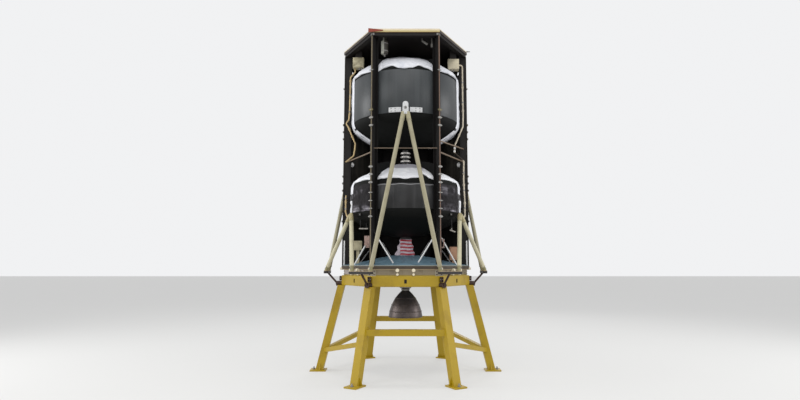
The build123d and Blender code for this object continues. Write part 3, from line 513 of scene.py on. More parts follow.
# Painted light: the side posts are lighter, and the caps' middle lines are painted highlights, warmer on the
# right.
woven(
    "composite_black", (9, 8, 8), (20, 18, 17), weave=300, rough=(0.55, 0.7),
    zones=[
        (lambda p: p.x.size().step(0.60, 0.62), (30, 28, 27)),
        (lambda p: p.r.step(0.7725, 0.7735), (32, 27, 23)),
        (lambda p: cap_highlight_line(p) * (1 - right(p)), (116, 106, 84)),
        (lambda p: cap_highlight_line(p) * right(p), (122, 98, 84)),
    ],
)
woven("panel_black", (14, 11, 10), (32, 26, 24), weave=240, rough=(0.5, 0.7), streak=0.2)
woven("panel_inner", (34, 33, 30), (70, 67, 61), weave=240, rough=(0.5, 0.7), streak=0.5)
woven("tank_carbon", (6, 7, 6), (15, 16, 14), weave=180, rough=(0.55, 0.75), streak=0.15, shine=0.12)
woven(
    "barrel_upper", (42, 45, 47), (63, 67, 69),
    weave=180, rough=(0.38, 0.5), streak=0.4, coat=0.1, shine=0.35,
    zones=[(lambda p: p.x.size().between(0.326, 0.331), (30, 30, 30))],
)
woven(
    "barrel_lower", (18, 18, 19), (66, 66, 67),
    weave=180, rough=(0.36, 0.5), streak=0.55, coat=0.1, shine=0.3,
    zones=[
        (lambda p: p.x.between(0.005, 0.075, 0.03), (26, 25, 26)),
        (barrel_pale_line, (140, 140, 142)),
    ],
)
# The pale zone on the film's turned-down edge is a painted highlight.
painted(
    "shield_film", (98, 124, 138), (54, 74, 86), wear=0.7, rough=(0.45, 0.65), scale=6, shine=0.3,
    zones=[(below(1.2575, 1.2585), (138, 138, 126))],
)
# The pale zone is painted highlight: the glints of the crumpled film.
painted(
    "film_dark", (34, 32, 34), (24, 22, 25), wear=0.5, rough=(0.5, 0.7), shine=0.08,
    zones=[(painted_glint, (178, 174, 184))],
)
creased("blanket_white", (226, 227, 232), (196, 199, 208))
# Painted shade: the upper blanket is painted greyer than the others, and greyer again at its crown, where the
# deck shades it.
creased(
    "blanket_upper", (214, 215, 220), (182, 185, 194),
    zones=[(above(3.690, 3.750), (172, 172, 178))],
)
creased(
    "tape_upper", (226, 227, 232), (196, 199, 208),
    zones=[(lambda p: tape_gap(p, 2.908, 2.934), (40, 39, 42))],
)
creased(
    "tape_lower", (230, 231, 235), (200, 203, 211),
    zones=[(lambda p: tape_gap(p, 2.040, 2.118), (58, 56, 60))],
)
# Painted light and shade: the lower blanket is painted whiter than the others, and grey at its crown top,
# where the upper tank shades it; the dark patches near its edge are film lapping over the tape.
creased(
    "blanket_lower", (238, 239, 243), (220, 222, 229),
    zones=[
        (above(2.402, 2.412), (184, 182, 191)),
        (lambda p: tape_gap(p, 2.040, 2.118) * (1 - p.y.step(0.02, 0.04)), (58, 56, 60)),
    ],
)
creased(
    "cover_striped", (200, 188, 196), (158, 144, 158), crease=40, deep=0.002, rough=(0.5, 0.7),
    zones=[
        (stripes, (172, 50, 62)),
        (above(1.572, 1.580), (44, 38, 40)),
    ],
)
looks = {
    "low_struts": "strut_olive_lit",
    "high_fittings": "high_fitting",
    "foot_bars": "foot_bar",
    "lip_tabs": "lip_tab",
    "post_clips": "clip_grey",
    "cross_rods": "cross_rod",
    "tank_rails": "rail_metal",
    "connectors": "plug_grey",
    "rim_knobs": "knob_cream",
    "base_boxes": "base_box",
    "canister": "canister_skin",
    "panel_left": "panel_inner",
    "panel_right": "panel_inner",
}
for part in frame["record"]["subparts"]:
    node = nodes[part["node"]]
    node.data.materials.clear()
    node.data.materials.append(finish[looks.get(part["node"], part["material_slot"])])
print("Finishes:", len(finish), "on", len(nodes), "CAD nodes")

# %% [markdown]
# ## Building blocks for the pieces
# Most pieces here are surfaces that follow a tank, a ring or a post, or small fasteners that repeat. So a
# few makers do nearly all of the work: a grid bent by a function, a profile turned round an axis, a bar
# along a line of points, and a stamp that sets copies of a small shape on many spots as one mesh.


# %% Building blocks
pieces = []


def polar(radius, angle, height, sideways=0.0):
    """Point at a radius and an angle in degrees, moved sideways to the left of that direction."""
    turn = math.radians(angle)
    c, s = math.cos(turn), math.sin(turn)
    return Vector((radius * c - sideways * s, radius * s + sideways * c, height))


def outward(angle):
    return polar(1, angle, 0)


def piece(name, shape, slot, body="root", look=None, sharp=40):
    """A mesh that rides on a body and wears its slot's finish, or a variant of it."""
    mesh = bpy.data.meshes.new(name)
    mesh.from_pydata([tuple(v) for v in shape[0]], [], shape[1])
    mesh.validate()
    if sharp:
        mesh.polygons.foreach_set("use_smooth", [True] * len(mesh.polygons))
        mesh.set_sharp_from_angle(angle=math.radians(sharp))
    mesh.materials.append(finish[look or slot])
    thing = bpy.data.objects.new(name, mesh)
    bpy.context.scene.collection.objects.link(thing)
    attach(thing, body)
    pieces.append(thing)
    return thing


def net(rows, columns, across, turned=False):
    """Faces between rows of points, closed round when there are as many columns as points across."""
    faces = []
    for j in range(rows):
        low, high = j * across, (j + 1) * across
        for i in range(columns):
            k = (i + 1) % across
            face = (low + i, high + i, high + k, low + k)
            faces.append((face[0], *face[:0:-1]) if turned else face)
    return faces


def grid(name, columns, rows, point, slot, closed=False, **options):
    """A sheet of columns by rows, each point given by a function of two numbers from 0 to 1."""
    across = columns if closed else columns + 1
    vertices = [point(i / columns, j / rows) for j in range(rows + 1) for i in range(across)]
    return piece(name, (vertices, net(rows, columns, across)), slot, **options)


def lathe(profile, sides=12):
    """A profile of (radius, height) turned round the upright axis. A radius of 0 closes an end."""
    vertices, rings = [], []
    for radius, height in profile:
        count = sides if radius else 1
        first = len(vertices)
        vertices += [polar(radius, 360 * i / count, height) for i in range(count)]
        rings.append([first + i % count for i in range(sides)])
    faces = []
    for low, high in zip(rings, rings[1:]):
        for i in range(sides):
            k = (i + 1) % sides
            faces.append(tuple(dict.fromkeys((low[i], low[k], high[k], high[i]))))
    return vertices, faces


def joined(*shapes):
    """Several shapes as one."""
    vertices, faces = [], []
    for points, sides in shapes:
        first = len(vertices)
        vertices += list(points)
        faces += [tuple(first + k for k in face) for face in sides]
    return vertices, faces


def stamped(shape, spots):
    """Copies of a shape that stand on spots: each a place and the direction that the shape points in."""
    copies = []
    for place, direction in spots:
        turn = Vector(direction).to_track_quat("Z", "Y").to_matrix()
        copies.append(([Vector(place) + turn @ Vector(v) for v in shape[0]], shape[1]))
    return joined(*copies)


def fasten(name, shape, spots, slot="vane_grey", **options):
    """One piece of many copies of a small shape."""
    return piece(name, stamped(shape, spots), slot, **options)


def around(radius, angles, rows, facing=1):
    """Spots at each angle, in rows of (across, height), that face out (1), in (-1) or up (0)."""
    spots = []
    for angle in angles:
        direction = facing * outward(angle) if facing else (0, 0, 1)
        spots += [(polar(radius, angle, height, across), direction) for across, height in rows]
    return spots


def stacked(x, y, heights):
    """Spots above each other that face up."""
    return [(Vector((x, y, height)), (0, 0, 1)) for height in heights]


def area_of(thing):
    return sum(face.area for face in thing.data.polygons)


def bar(points, radius, sides=8):
    """A bar along points, closed at both ends; the radius may change from point to point."""
    points = [Vector(p) for p in points]
    radii = radius if isinstance(radius, list) else [radius] * len(points)
    vertices = []
    level = None
    for i, point in enumerate(points):
        ahead = (points[min(i + 1, len(points) - 1)] - points[max(i - 1, 0)]).normalized()
        if level is None:
            level = ahead.orthogonal().normalized()
        level = (level - ahead * level.dot(ahead)).normalized()
        upright = ahead.cross(level)
        for k in range(sides):
            turn = math.tau * k / sides
            vertices.append(point + (level * math.cos(turn) + upright * math.sin(turn)) * radii[i])
    faces = net(len(points) - 1, sides, sides, turned=True)
    faces.append(tuple(reversed(range(sides))))
    faces.append(tuple(range(len(vertices) - sides, len(vertices))))
    return vertices, faces


sink = 0.0005


def bolt(radius):
    """A six-sided head on a round washer."""
    washer = [(1.4 * radius, -sink), (1.4 * radius, 0.2 * radius), (0, 0.2 * radius)]
    head = [(radius, 0.2 * radius), (radius, 0.75 * radius), (0.85 * radius, 0.9 * radius), (0, 0.9 * radius)]
    return joined(lathe(washer, 14), lathe(head, 6))


def rivet(radius):
    """A low round head."""
    profile = ((0.9, 0.25), (0.5, 0.42), (0, 0.48))
    return lathe([(radius, -sink)] + [(wide * radius, tall * radius) for wide, tall in profile], 8)


def collar(inner, outer, length, sides=16):
    """A short sleeve round a bar, its outer edges broken."""
    half, cut = length / 2, min((outer - inner) / 2, length / 5)
    below_middle = [(inner, -half), (outer - cut, -half), (outer, cut - half)]
    above_middle = [(radius, -height) for radius, height in reversed(below_middle)]
    return lathe(below_middle + above_middle, sides)


def plate(width, tall, thick, cut):
    """A flat plate whose edges lie along X and Y, standing on Z, its corners cut."""
    w, t, c = width / 2, tall / 2, cut
    right_side = [(w, c - t), (w, t - c), (w - c, t)]
    outline = right_side + [(c - w, t)] + [(-x, -y) for x, y in right_side] + [(w - c, -t)]
    edge, count = 0.2 * thick, len(outline)
    inset = [(x - math.copysign(edge, x), y - math.copysign(edge, y)) for x, y in outline]
    layers = ((outline, -sink), (outline, thick - edge), (inset, thick))
    vertices = [Vector((x, y, height)) for layer, height in layers for x, y in layer]
    faces = [tuple(range(2 * count, 3 * count))]
    for k in range(count):
        m = (k + 1) % count
        faces += [(k, m, count + m, count + k), (count + k, count + m, 2 * count + m, 2 * count + k)]
    return vertices, faces


def folds(place, size, seed, octaves=4):
    """Sharp-edged crumple from 0 to about 1, with folds of a size in metres."""
    spot = Vector(place) / size + Vector((seed, 2 * seed, 3 * seed))
    return noise.turbulence(spot, octaves, True, amplitude_scale=0.55, frequency_scale=2.1)


def billow(place, size, seed):
    """Soft swelling from -1 to 1, with swells of a size in metres."""
    return noise.noise(Vector(place) / size + Vector((seed, -seed, 2 * seed)))


def smooth(value, low, high):
    """0 at low, 1 at high, eased between."""
    share = min(max((value - low) / (high - low), 0.0), 1.0)
    return share * share * (3 - 2 * share)


print("Makers: net, grid, lathe, stamped, bar; spots: around, stacked; shapes: bolt, rivet, collar, plate")

# %% [markdown]
# ## The tanks
# Each tank is a steel or aluminium liner wound with carbon fibre: hoops round the barrel and slanting
# bands over the domes. The barrel's hoops end in a sharp step at its lower edge, which catches the light,
# so the barrel gets its own thin shell over the CAD tank.

# %% Tanks
tank_radius = 0.668
tank_knuckle = 0.130
tank_heights = {
    "tank_upper": {"bottom": 2.700, "low": 3.010, "high": 3.530, "top": 3.850},
    "tank_lower": {"bottom": 1.600, "low": 1.895, "high": 2.184, "top": 2.480},
}


def dome(rise, grow):
    """Points (radius, height over the barrel's end) of a dome from its middle to its edge."""
    radius, knuckle, tall = tank_radius + grow, tank_knuckle + grow, rise + grow
    crown = ((radius - knuckle) ** 2 + tall**2 - knuckle**2) / (2 * (tall - knuckle))
    turn = math.atan2(crown - tall, radius - knuckle)
    points = []
    for i in range(41):
        angle = math.pi / 2 - (math.pi / 2 - turn) * i / 40
        points.append((crown * math.cos(angle), tall - crown + crown * math.sin(angle)))
    for i in range(1, 21):
        angle = turn - turn * i / 20
        points.append((radius - knuckle + knuckle * math.cos(angle), knuckle * math.sin(angle)))
    return points


def tank_line(node, grow):
    """A tank's whole outline from the middle of its top to the middle of its bottom, with its lengths."""
    heights = tank_heights[node]
    upper = dome(heights["top"] - heights["high"], grow)
    lower = dome(heights["low"] - heights["bottom"], grow)
    line = [Vector((radius, heights["high"] + height)) for radius, height in upper]
    line += [Vector((radius, heights["low"] - height)) for radius, height in reversed(lower)]
    lengths = [0.0]
    for first, second in zip(line, line[1:]):
        lengths.append(lengths[-1] + (second - first).length)
    return line, lengths


def along(line, lengths, distance):
    """The point at a distance along an outline, and its outward direction."""
    for i in range(1, len(line)):
        if lengths[i] >= distance or i == len(line) - 1:
            step = max(lengths[i] - lengths[i - 1], 1e-9)
            share = min(max((distance - lengths[i - 1]) / step, 0.0), 1.0)
            ahead = (line[i] - line[i - 1]).normalized()
            return line[i - 1].lerp(line[i], share), Vector((-ahead.y, ahead.x))


def lifted(point, angle, away, lift):
    """A point of a tank's outline, turned to an angle, moved out from the tank."""
    return point + outward(angle) * (away.x * lift) + Vector((0, 0, away.y * lift))


def distance_at(line, lengths, height):
    """How far along an outline its upper part comes down to a height."""
    for i in range(1, len(line)):
        if line[i].y <= height:
            share = (line[i - 1].y - height) / max(line[i - 1].y - line[i].y, 1e-9)
            return lengths[i - 1] + share * (lengths[i] - lengths[i - 1])


barrel_step = 0.0035
for node, look, low, high in (
    ("tank_upper", "barrel_upper", 3.009, 3.528),
    ("tank_lower", "barrel_lower", 1.900, 2.186),
):
    outer = tank_radius + barrel_step
    profile = [
        (tank_radius - 0.004, low - 0.0005),
        (outer - 0.0012, low),
        (outer, low + 0.0015),
        (outer, high - 0.002),
        (outer - 0.001, high),
        (tank_radius - 0.004, high),
    ]
    piece(node + "_barrel", lathe(profile, 160), "tank_carbon", look=look)
print("Barrels:", len(pieces))

# %% [markdown]
# ## The insulation blankets
# A white blanket of many thin layers lies over each tank's dome and wraps its rear half. It is cut in
# panels, sewn round the edge and laid on by hand, so it swells and creases everywhere, and its hem hangs
# in arches between the posts. The surface follows the tank's outline: broad swells and sharp creases push
# it out, the hem is thick, and the free edges of the rear wrap stand out and sway. All of it comes from
# one formula, so none of it floats.

# %% Blankets
hem_heights = {
    "blanket_upper": {
        "front": ((0, 3.530), (6, 3.538), (14, 3.574), (21, 3.552), (30, 3.522)),
        "side": ((0, 3.546), (9, 3.556), (18, 3.548), (30, 3.536)),
    },
    "blanket_lower": {
        "front": ((0, 2.236), (9, 2.246), (17, 2.251), (24, 2.244), (30, 2.236)),
        "side": ((0, 2.244), (12, 2.252), (30, 2.240)),
    },
}
crown_hole = 0.08
column_runs = ((0, 190, 1.0), (190, 200, 0.4), (200, 340, 0.8), (340, 350, 0.4), (350, 360, 1.0))
column_angles = []
for first, last, step in column_runs:
    column_angles += [first + i * step for i in range(round((last - first) / step))]


def ramp(table, value):
    """Eased steps between the points of a table."""
    for (low, first), (high, second) in zip(table, table[1:]):
        if value <= high:
            return first + (second - first) * smooth(value, low, high)
    return table[-1][1]


def near(angle, middle, width):
    """1 at an angle and falling softly to 0 on both sides."""
    return math.exp(-(((angle - middle) / width) ** 2))


def blanket(name, tank, skirt, seed):
    """The cover of one tank: a grid round the axis and down the tank's outline."""
    line, lengths = tank_line(tank, 0.002)
    heights = tank_heights[tank]
    rear_end = 0.0
    for point, length in zip(line, lengths):
        if point.y > heights["bottom"] + skirt:
            rear_end = length

    def place(u, v):
        angle = column_angles[round(u * len(column_angles)) % len(column_angles)]
        face = "front" if 240 <= angle <= 300 else "side"
        front = smooth(angle, 194.2, 195.8) * (1 - smooth(angle, 344.2, 345.8))
        hem_height = ramp(hem_heights[name][face], abs(angle % 60 - 30))
        if name == "blanket_lower":
            hem_height += 0.050 * near(angle, 289.5, 3.6)
        hem = distance_at(line, lengths, hem_height)
        end = front * hem + (1 - front) * rear_end + 0.007 * billow(outward(angle) * 2, 0.30, seed)
        sewn, rim = min(v / 0.985, 1.0), smooth(v, 0.984, 1.0)
        distance = crown_hole + sewn * (end - crown_hole)
        spot, away = along(line, lengths, distance)
        point = polar(spot.x, angle, spot.y)
        near_edge = near(angle, 190.5, 4.5) + near(angle, 349.5, 4.5)
        free_edge = near(angle, 195, 2.2) + near(angle, 345, 2.2)
        puff = 0.005 + 0.007 * (billow(point, 0.19, seed) + 0.25) + 0.010 * near_edge
        crease = 0.015 * (folds(point, 0.21, seed) - 0.42) + 0.004 * (folds(point, 0.05, seed + 3, 2) - 0.4)
        hem_roll = front * 0.006 * smooth(sewn, 0.90, 0.97)
        crown = 0.026 * (1 - smooth(spot.x, 0.10, 0.36)) if tank == "tank_lower" else 0.0
        lift = max(puff + crease, 0.002) + hem_roll + crown
        near_pipe = near(angle, 188, 4) + near(angle, 352, 4)
        most = 0.021 if heights["low"] < spot.y < heights["high"] else 0.020 - 0.009 * min(near_pipe, 1)
        lift = min(lift, max(most, crown + 0.012)) * (1 - rim) + 0.0008 * rim
        level = (0, seed, spot.y)
        swing = free_edge * (1.1 * billow(level, 0.12, seed) + 0.5 * billow(level, 0.04, seed))
        return lifted(polar(spot.x, angle + swing, spot.y), angle + swing, away, lift)

    cells = (len(column_angles), 110)
    return grid(name + "_cloth", *cells, place, "blanket_white", closed=True, look=name, sharp=75)


for name, tank, skirt, seed in (
    ("blanket_upper", "tank_upper", 0.09, 1.7),
    ("blanket_lower", "tank_lower", 0.285, 5.2),
):
    cloth = blanket(name, tank, skirt, seed)
    cloth_area = area_of(cloth)
    side = round(math.sqrt(cloth_area) * 1.04, 2)
    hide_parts(name)
    print(name, "cloth:", round(cloth_area, 2), "m2, cut from", side, "m square")

# %% [markdown]
# ## The film on the heat shield
# The heat shield is a flat six-sided flange with a low cone, covered with a thin blue-grey protective film.
# Film is stiff for its weight: it creases in long straight folds that run down the cone, and it is pulled
# tight and taped over the flange's edge, where a pale line is painted as the highlight along that edge.

# %% Heat shield film
flange_top = 1.262
flange_reach, film_hole, film_flat, film_turn = 0.6762, 0.112, 0.94, 0.06
cone_foot, cone_head, cone_rise = 0.668, 0.150, 0.113


def film_place(u, v):
    angle = 360 * u
    across = math.radians((angle % 60) - 30)
    rim = flange_reach / math.cos(across)
    if v > film_flat:
        share = (v - film_flat) / film_turn
        drop = 0.016 * share
        return polar(rim + 0.002 + 0.0015 * share, angle, flange_top + 0.002 - drop)
    radius = film_hole + (rim + 0.0015 - film_hole) * (v / film_flat)
    rise = cone_rise * min(max((cone_foot - radius) / (cone_foot - cone_head), 0.0), 1.0)
    spot = polar(radius, angle, flange_top + rise)
    inner = smooth(radius, 0.12, 0.2) * (1 - smooth(radius, rim - 0.03, rim))
    long_folds = folds(polar(1.1, angle, radius * 0.35), 0.16, 8.1)
    small = folds(spot, 0.09, 4.4, 3)
    lift = 0.002 + inner * (0.016 * max(long_folds - 0.25, 0) + 0.008 * max(small - 0.3, 0))
    return spot + Vector((0, 0, lift))


film = grid("shield_film", 420, 60, film_place, "shield_film", closed=True, sharp=60)

# %% [markdown]
# ## The striped cover
# Under the lower tank a red and white striped fabric cover hides the outlet. It is a sleeve tied round the
# outlet at the top and left loose at the foot, so it gathers in upright pleats, slumps, and throws a pale
# lobe out at its lower left.

# %% Striped cover
cover_top, cover_drop, cover_neck, cover_flare, lobe_angle = 1.599, 0.223, 0.066, 0.040, 205


def cover_place(u, v):
    angle = 360 * u
    height = cover_top - v * cover_drop
    radius = cover_neck + cover_flare * v
    facing = math.cos(math.radians(angle - lobe_angle))
    radius += 0.026 * smooth(v, 0.45, 0.95) * max(facing, 0.0) ** 2
    sag = 0.007 * math.sin(v * 16 + 2 * math.sin(math.radians(angle)))
    spot = polar(radius, angle, height)
    pleat = 0.007 * smooth(v, 0.0, 0.4) * math.sin(math.radians(angle * 7) + 3 * billow(spot, 0.08, 2.2))
    crease = 0.016 * (folds(spot, 0.075, 6.3, 4) - 0.4)
    pinch = 1 - 0.5 * math.exp(-((v / 0.06) ** 2))
    return polar(max(radius + (sag + pleat + crease) * pinch, 0.05), angle, height)


cover = grid("striped_cover", 150, 70, cover_place, "cover_striped", closed=True, sharp=60)
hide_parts("sump_cover")
print("Striped cover:", round(area_of(cover), 3), "m2")

# %% [markdown]
# ## Dark film on the lower barrel
# The sides of the lower barrel carry a loose dark film, crumpled when it was taped on. Its brightest sparks
# are highlights painted into its finish over the small facets.

# %% Dark film
film_columns, film_rows = 34, 16


def dark_film(name, first, last, low, high, seed):
    """A crumpled sheet of flat facets on the lower barrel, its edges nearly on the tank."""

    def place(u, v):
        inner = smooth(min(u, 1 - u), 0.0, 0.12) * smooth(min(v, 1 - v), 0.0, 0.2)
        jog = Vector((u * 9.1, v * 7.3, seed))
        u += 0.6 / film_columns * noise.noise(jog * 3) * inner
        v += 0.6 / film_rows * noise.noise(jog * 3 + Vector((5, 5, 5))) * inner
        angle, height = first + (last - first) * u, high + (low - high) * v
        ragged = 0.010 * billow((u * 3, v * 3, 0), 0.5, seed + 1) * (1 - inner)
        spot = polar(tank_radius, angle, height)
        crumple = 0.5 + 0.5 * noise.noise(spot / 0.055 + Vector((seed, 0, 0)))
        lift = 0.0045 + inner * (0.018 * crumple + 0.004 * noise.noise(spot / 0.02))
        return polar(tank_radius + lift, angle + ragged * 50, height + ragged)

    sheet = grid(name, film_columns, film_rows, place, "tank_carbon", look="film_dark", sharp=0)
    print(name, round(area_of(sheet), 3), "m2")


dark_film("dark_film_left", 198, 236, 1.887, 2.200, 3.1)
dark_film("dark_film_right", 304, 342, 1.887, 2.200, 7.7)

# %% [markdown]
# ## Edge binding
# The rear wrap's two free edges are bound with a strip of white tape folded over the cloth and stuck to
# the tank. Tape that follows a dome has to wrinkle, because one of its sides is shorter than the other.

# %% Edge binding
for name, tank, hem, low_end, seed in (
    ("binding_upper", "tank_upper", 3.555, 2.790, 2.3),
    ("binding_lower", "tank_lower", 2.246, 2.055, 6.1),
):
    line, lengths = tank_line(tank, 0.002)
    start_at = distance_at(line, lengths, hem)
    end_at = distance_at(line, lengths, low_end)
    for side, first in (("left", 193.5), ("right", 346.5)):
        turn = 6.5 if side == "left" else -6.5

        def tape_place(u, v):
            spot, away = along(line, lengths, start_at + (end_at - start_at) * v)
            angle = first + turn * u + 0.35 * u * billow((0, seed, spot.y), 0.06, seed)
            point = polar(spot.x, angle, spot.y)
            bulge = 4 * u * (1 - u)
            wrinkle = 0.003 * bulge * folds(point, 0.05, seed, 3)
            return lifted(point, angle, away, 0.0045 + 0.0055 * bulge + wrinkle)

        tape = name.replace("binding", "tape")
        grid(f"{name}_{side}", 10, 160, tape_place, "blanket_white", look=tape, sharp=75)
print("Edge bindings: 4")

# %% [markdown]
# ## Shoulder ribs
# A thin upright rib runs from each front and rear post in over the lower tank's shoulder. It parts the
# blanket's front from its sides, and its lower edge follows the tank's dome.

# %% Shoulder ribs
rib_inner, rib_outer, rib_half = 0.370, 0.652, 0.004
ridge = tank_line("tank_lower", 0.016)[0]
under = [point for point in ridge if rib_inner <= point.x <= rib_outer and point.y > 2.2]
rib_line = [(point.x, point.y) for point in under] + [(rib_outer, 2.425), (0.56, 2.455), (0.45, 2.485)]
rib_line += [(rib_inner + 0.01, 2.495)]
shapes = []
for angle in (60, 120, 240, 300):
    sides = [[polar(x, angle, z, side * rib_half) for x, z in rib_line] for side in (-1, 1)]
    count = len(rib_line)
    faces = [tuple(range(count)), tuple(range(2 * count - 1, count - 1, -1))]
    shapes.append((sides[0] + sides[1], faces + net(1, count, count, turned=True)))
piece("shoulder_ribs", joined(*shapes), "tank_carbon")
print("Shoulder ribs:", len(shapes))

# %% [markdown]
# ## Fasteners of the body
# The caps are riveted to the post webs, the panels are riveted to the posts, and each lens-shaped clip has
# one bolt. Real rows of fasteners keep an even pitch and skip what is in their way, so the rows come from
# a pitch and a test instead of a list of places. Each kind is one mesh of many stamped copies.

# %% Post fasteners
corner_angles = range(0, 360, 60)
face_angles = range(30, 360, 60)
post_radius, clip_face = 0.785, 0.7953
clip_heights = (3.510, 3.034, 2.943, 2.851, 2.370, 2.282, 2.190, 2.074, 1.983, 1.893, 1.803)
rivet_heights = [1.29 + 0.06 * i for i in range(44)]
caps = [(0, z) for z in rivet_heights if min(abs(z - clip) for clip in clip_heights) > 0.018]
clips = [(0, z) for z in clip_heights]
fasten("post_rivets", rivet(0.0035), around(post_radius, corner_angles, caps))
fasten("clip_bolts", bolt(0.0045), around(clip_face, corner_angles, clips))
print("Post rivets:", 6 * len(caps), "clip bolts:", 6 * len(clips))

# %% Panel fasteners
panel_faces = (30, 90, 150)
panel_outside, panel_inside = 0.6875, 0.6795


def mirrored(radius, rows, facing=1):
    """Spots on the left panel, and the same ones mirrored on the right panel."""
    flipped = [(-across, height) for across, height in rows]
    return around(radius, [150], rows, facing) + around(radius, [30], flipped, facing)


panel_edge, panel_foot, panel_head = 0.367, 1.275, 3.915
rows = [(side * panel_edge, z) for side in (-1, 1) for z in rivet_heights]
rows += [(-0.32 + 0.064 * i, z) for i in range(11) for z in (panel_foot, panel_head)]
bright_nuts = ((0.255, 3.906), (0.321, 3.669), (0.333, 3.410))
fasten("panel_rivets", rivet(0.004), around(panel_outside, panel_faces, rows))
fasten("panel_nuts", bolt(0.005), mirrored(panel_inside, bright_nuts, -1), "rod_white")
print("Panel rivets:", len(panel_faces) * len(rows), "nuts:", 2 * len(bright_nuts))

# %% [markdown]
# ## Windows and holes in the panels
# Each opening in a panel is stiffened by a bonded rim. Where a strut fitting passes through, a dark frame
# closes the gap between the window's edge and the tank, which keeps daylight out of the bay. The lower
# holes are closed, two by round white caps inside and two by flat covers outside; the upper ones are open.


# %% Window rims
def rounded(width, tall, radius, steps=6):
    """Outline of a rectangle with rounded corners, as (across, up) points round its middle."""
    points = []
    for index, (x, y) in enumerate(((1, 1), (-1, 1), (-1, -1), (1, -1))):
        for step in range(steps + 1):
            turn = math.radians(90 * index + 90 * step / steps)
            across = x * (width / 2 - radius) + radius * math.cos(turn)
            points.append((across, y * (tall / 2 - radius) + radius * math.sin(turn)))
    return points


def skin(rings):
    """A closed band through outlines of as many points."""
    count = len(rings[0])
    return [Vector(point) for ring in rings for point in ring], net(len(rings) - 1, count, count)


window_width, window_tall, window_corner, rim_width = 0.42, 0.16, 0.03, 0.024
inner = rounded(window_width, window_tall, window_corner)
outer = rounded(window_width + 2 * rim_width, window_tall + 2 * rim_width, window_corner + rim_width)
rim_section = ((inner, -sink), (inner, 0.002), (outer, 0.002), (outer, -sink))
window_rim = skin([[(x, y, z) for x, y in line] for line, z in rim_section])
windows = ((30, 3.016, "tank_upper"), (90, 1.881, "tank_lower"), (150, 3.016, "tank_upper"))
spots = [(polar(panel_outside, face, z), outward(face)) for face, z, tank in windows]
fasten("window_rims", window_rim, spots, "panel_black")
hole_across, hole_high, hole_low = 0.208, 3.774, 2.550
spots = around(panel_outside, panel_faces, [(-hole_across, hole_high), (hole_across, hole_high)])
spots += around(panel_outside, (30, 150), [(-hole_across, hole_low), (hole_across, hole_low)])
hole_rim = lathe([(0.034, -sink), (0.034, 0.002), (0.024, 0.002), (0.024, -sink)], 32)
fasten("hole_rims", hole_rim, spots, "panel_black")
print("Rims:", len(windows), "windows and", len(spots), "holes")

# %% Hole caps
dome_cap = [(0.031, -sink), (0.031, 0.004), (0.028, 0.013), (0.020, 0.021), (0.010, 0.0255), (0, 0.0265)]
spots = mirrored(panel_inside, [(hole_across, hole_low)], -1)
fasten("hole_caps", lathe(dome_cap, 32), spots, "fitting_white", look="cap_white_lit")
flat_cover = lathe([(0.030, -sink), (0.030, 0.002), (0.026, 0.0035), (0, 0.0035)], 32)
fasten("hole_covers", flat_cover, mirrored(panel_outside, [(-hole_across, hole_low)]), "panel_black")
print("Caps:", len(spots), "and as many covers")


# %% Window frames
def tank_skin(tank, height):
    """A tank's radius at a height on its barrel or lower dome."""
    return next(point.x for point in tank_line(tank, 0.002)[0] if point.y <= height)


frame_inset = 0.004
shapes = []
for face, middle, tank in windows:
    edge, tank_side = [], []
    for across, up in inner:
        reach = math.sqrt(tank_skin(tank, middle + up) ** 2 - across**2)
        edge.append(polar(panel_inside + frame_inset, face, middle + up, across))
        tank_side.append(polar(reach, face, middle + up, across))
    shapes.append(skin([edge, tank_side]))
piece("window_frames", joined(*shapes), "panel_black")
print("Window frames:", len(shapes))

# %% [markdown]
# ## The top: lip and deck
# The lip is a thin rail round the deck, held by a row of small rivets. The deck is a sandwich plate: bolts
# round its edge hold it to the frame, and flush inserts in an even pattern take whatever is mounted later.

# %% Lip and deck fasteners
lip_face, lip_middle, deck_edge, deck_top = 0.68935, 3.980, 0.655, 3.987
rows = [(-0.36 + 0.06 * i, lip_middle) for i in range(13)]
fasten("lip_rivets", rivet(0.003), around(lip_face, face_angles, rows), "lip_gold")
rows = [(-0.32 + 0.08 * i, deck_top) for i in range(9)]
fasten("deck_bolts", bolt(0.005), around(deck_edge, face_angles, rows, 0))
insert = lathe([(0.009, -sink), (0.009, 0.0008), (0.005, 0.0008), (0.004, -sink)], 16)
spots = []
for row in range(-5, 6):
    for column in range(-6, 7):
        place = Vector((0.12 * column + 0.06 * (row % 2), 0.104 * row, deck_top))
        if max(abs(place.dot(outward(face))) for face in panel_faces) < 0.62:
            spots.append((place, (0, 0, 1)))
fasten("deck_inserts", insert, spots)
print("Deck inserts:", len(spots))

# %% Corner plates
corner_plate_height, corner_plate_half = 3.949, 0.017
spots = []
for angle in corner_angles:
    for side in (-1, 1):
        face = angle + 30 * side
        along_face = polar(0, face, 0, corner_plate_half * side)
        spots.append((polar(post_radius, angle, corner_plate_height) + along_face, outward(face)))
fasten("corner_plates", plate(0.024, 0.026, 0.002, 0.005), spots, look="plug_grey")
print("Corner plates:", len(spots))

# %% [markdown]
# ## The base
# Bolts hold the base ring and the adapter. Each knob on the rim is a round cap over a fastener, so it gets
# a smaller disc on its end, and the corner blocks have two pairs of bolts.

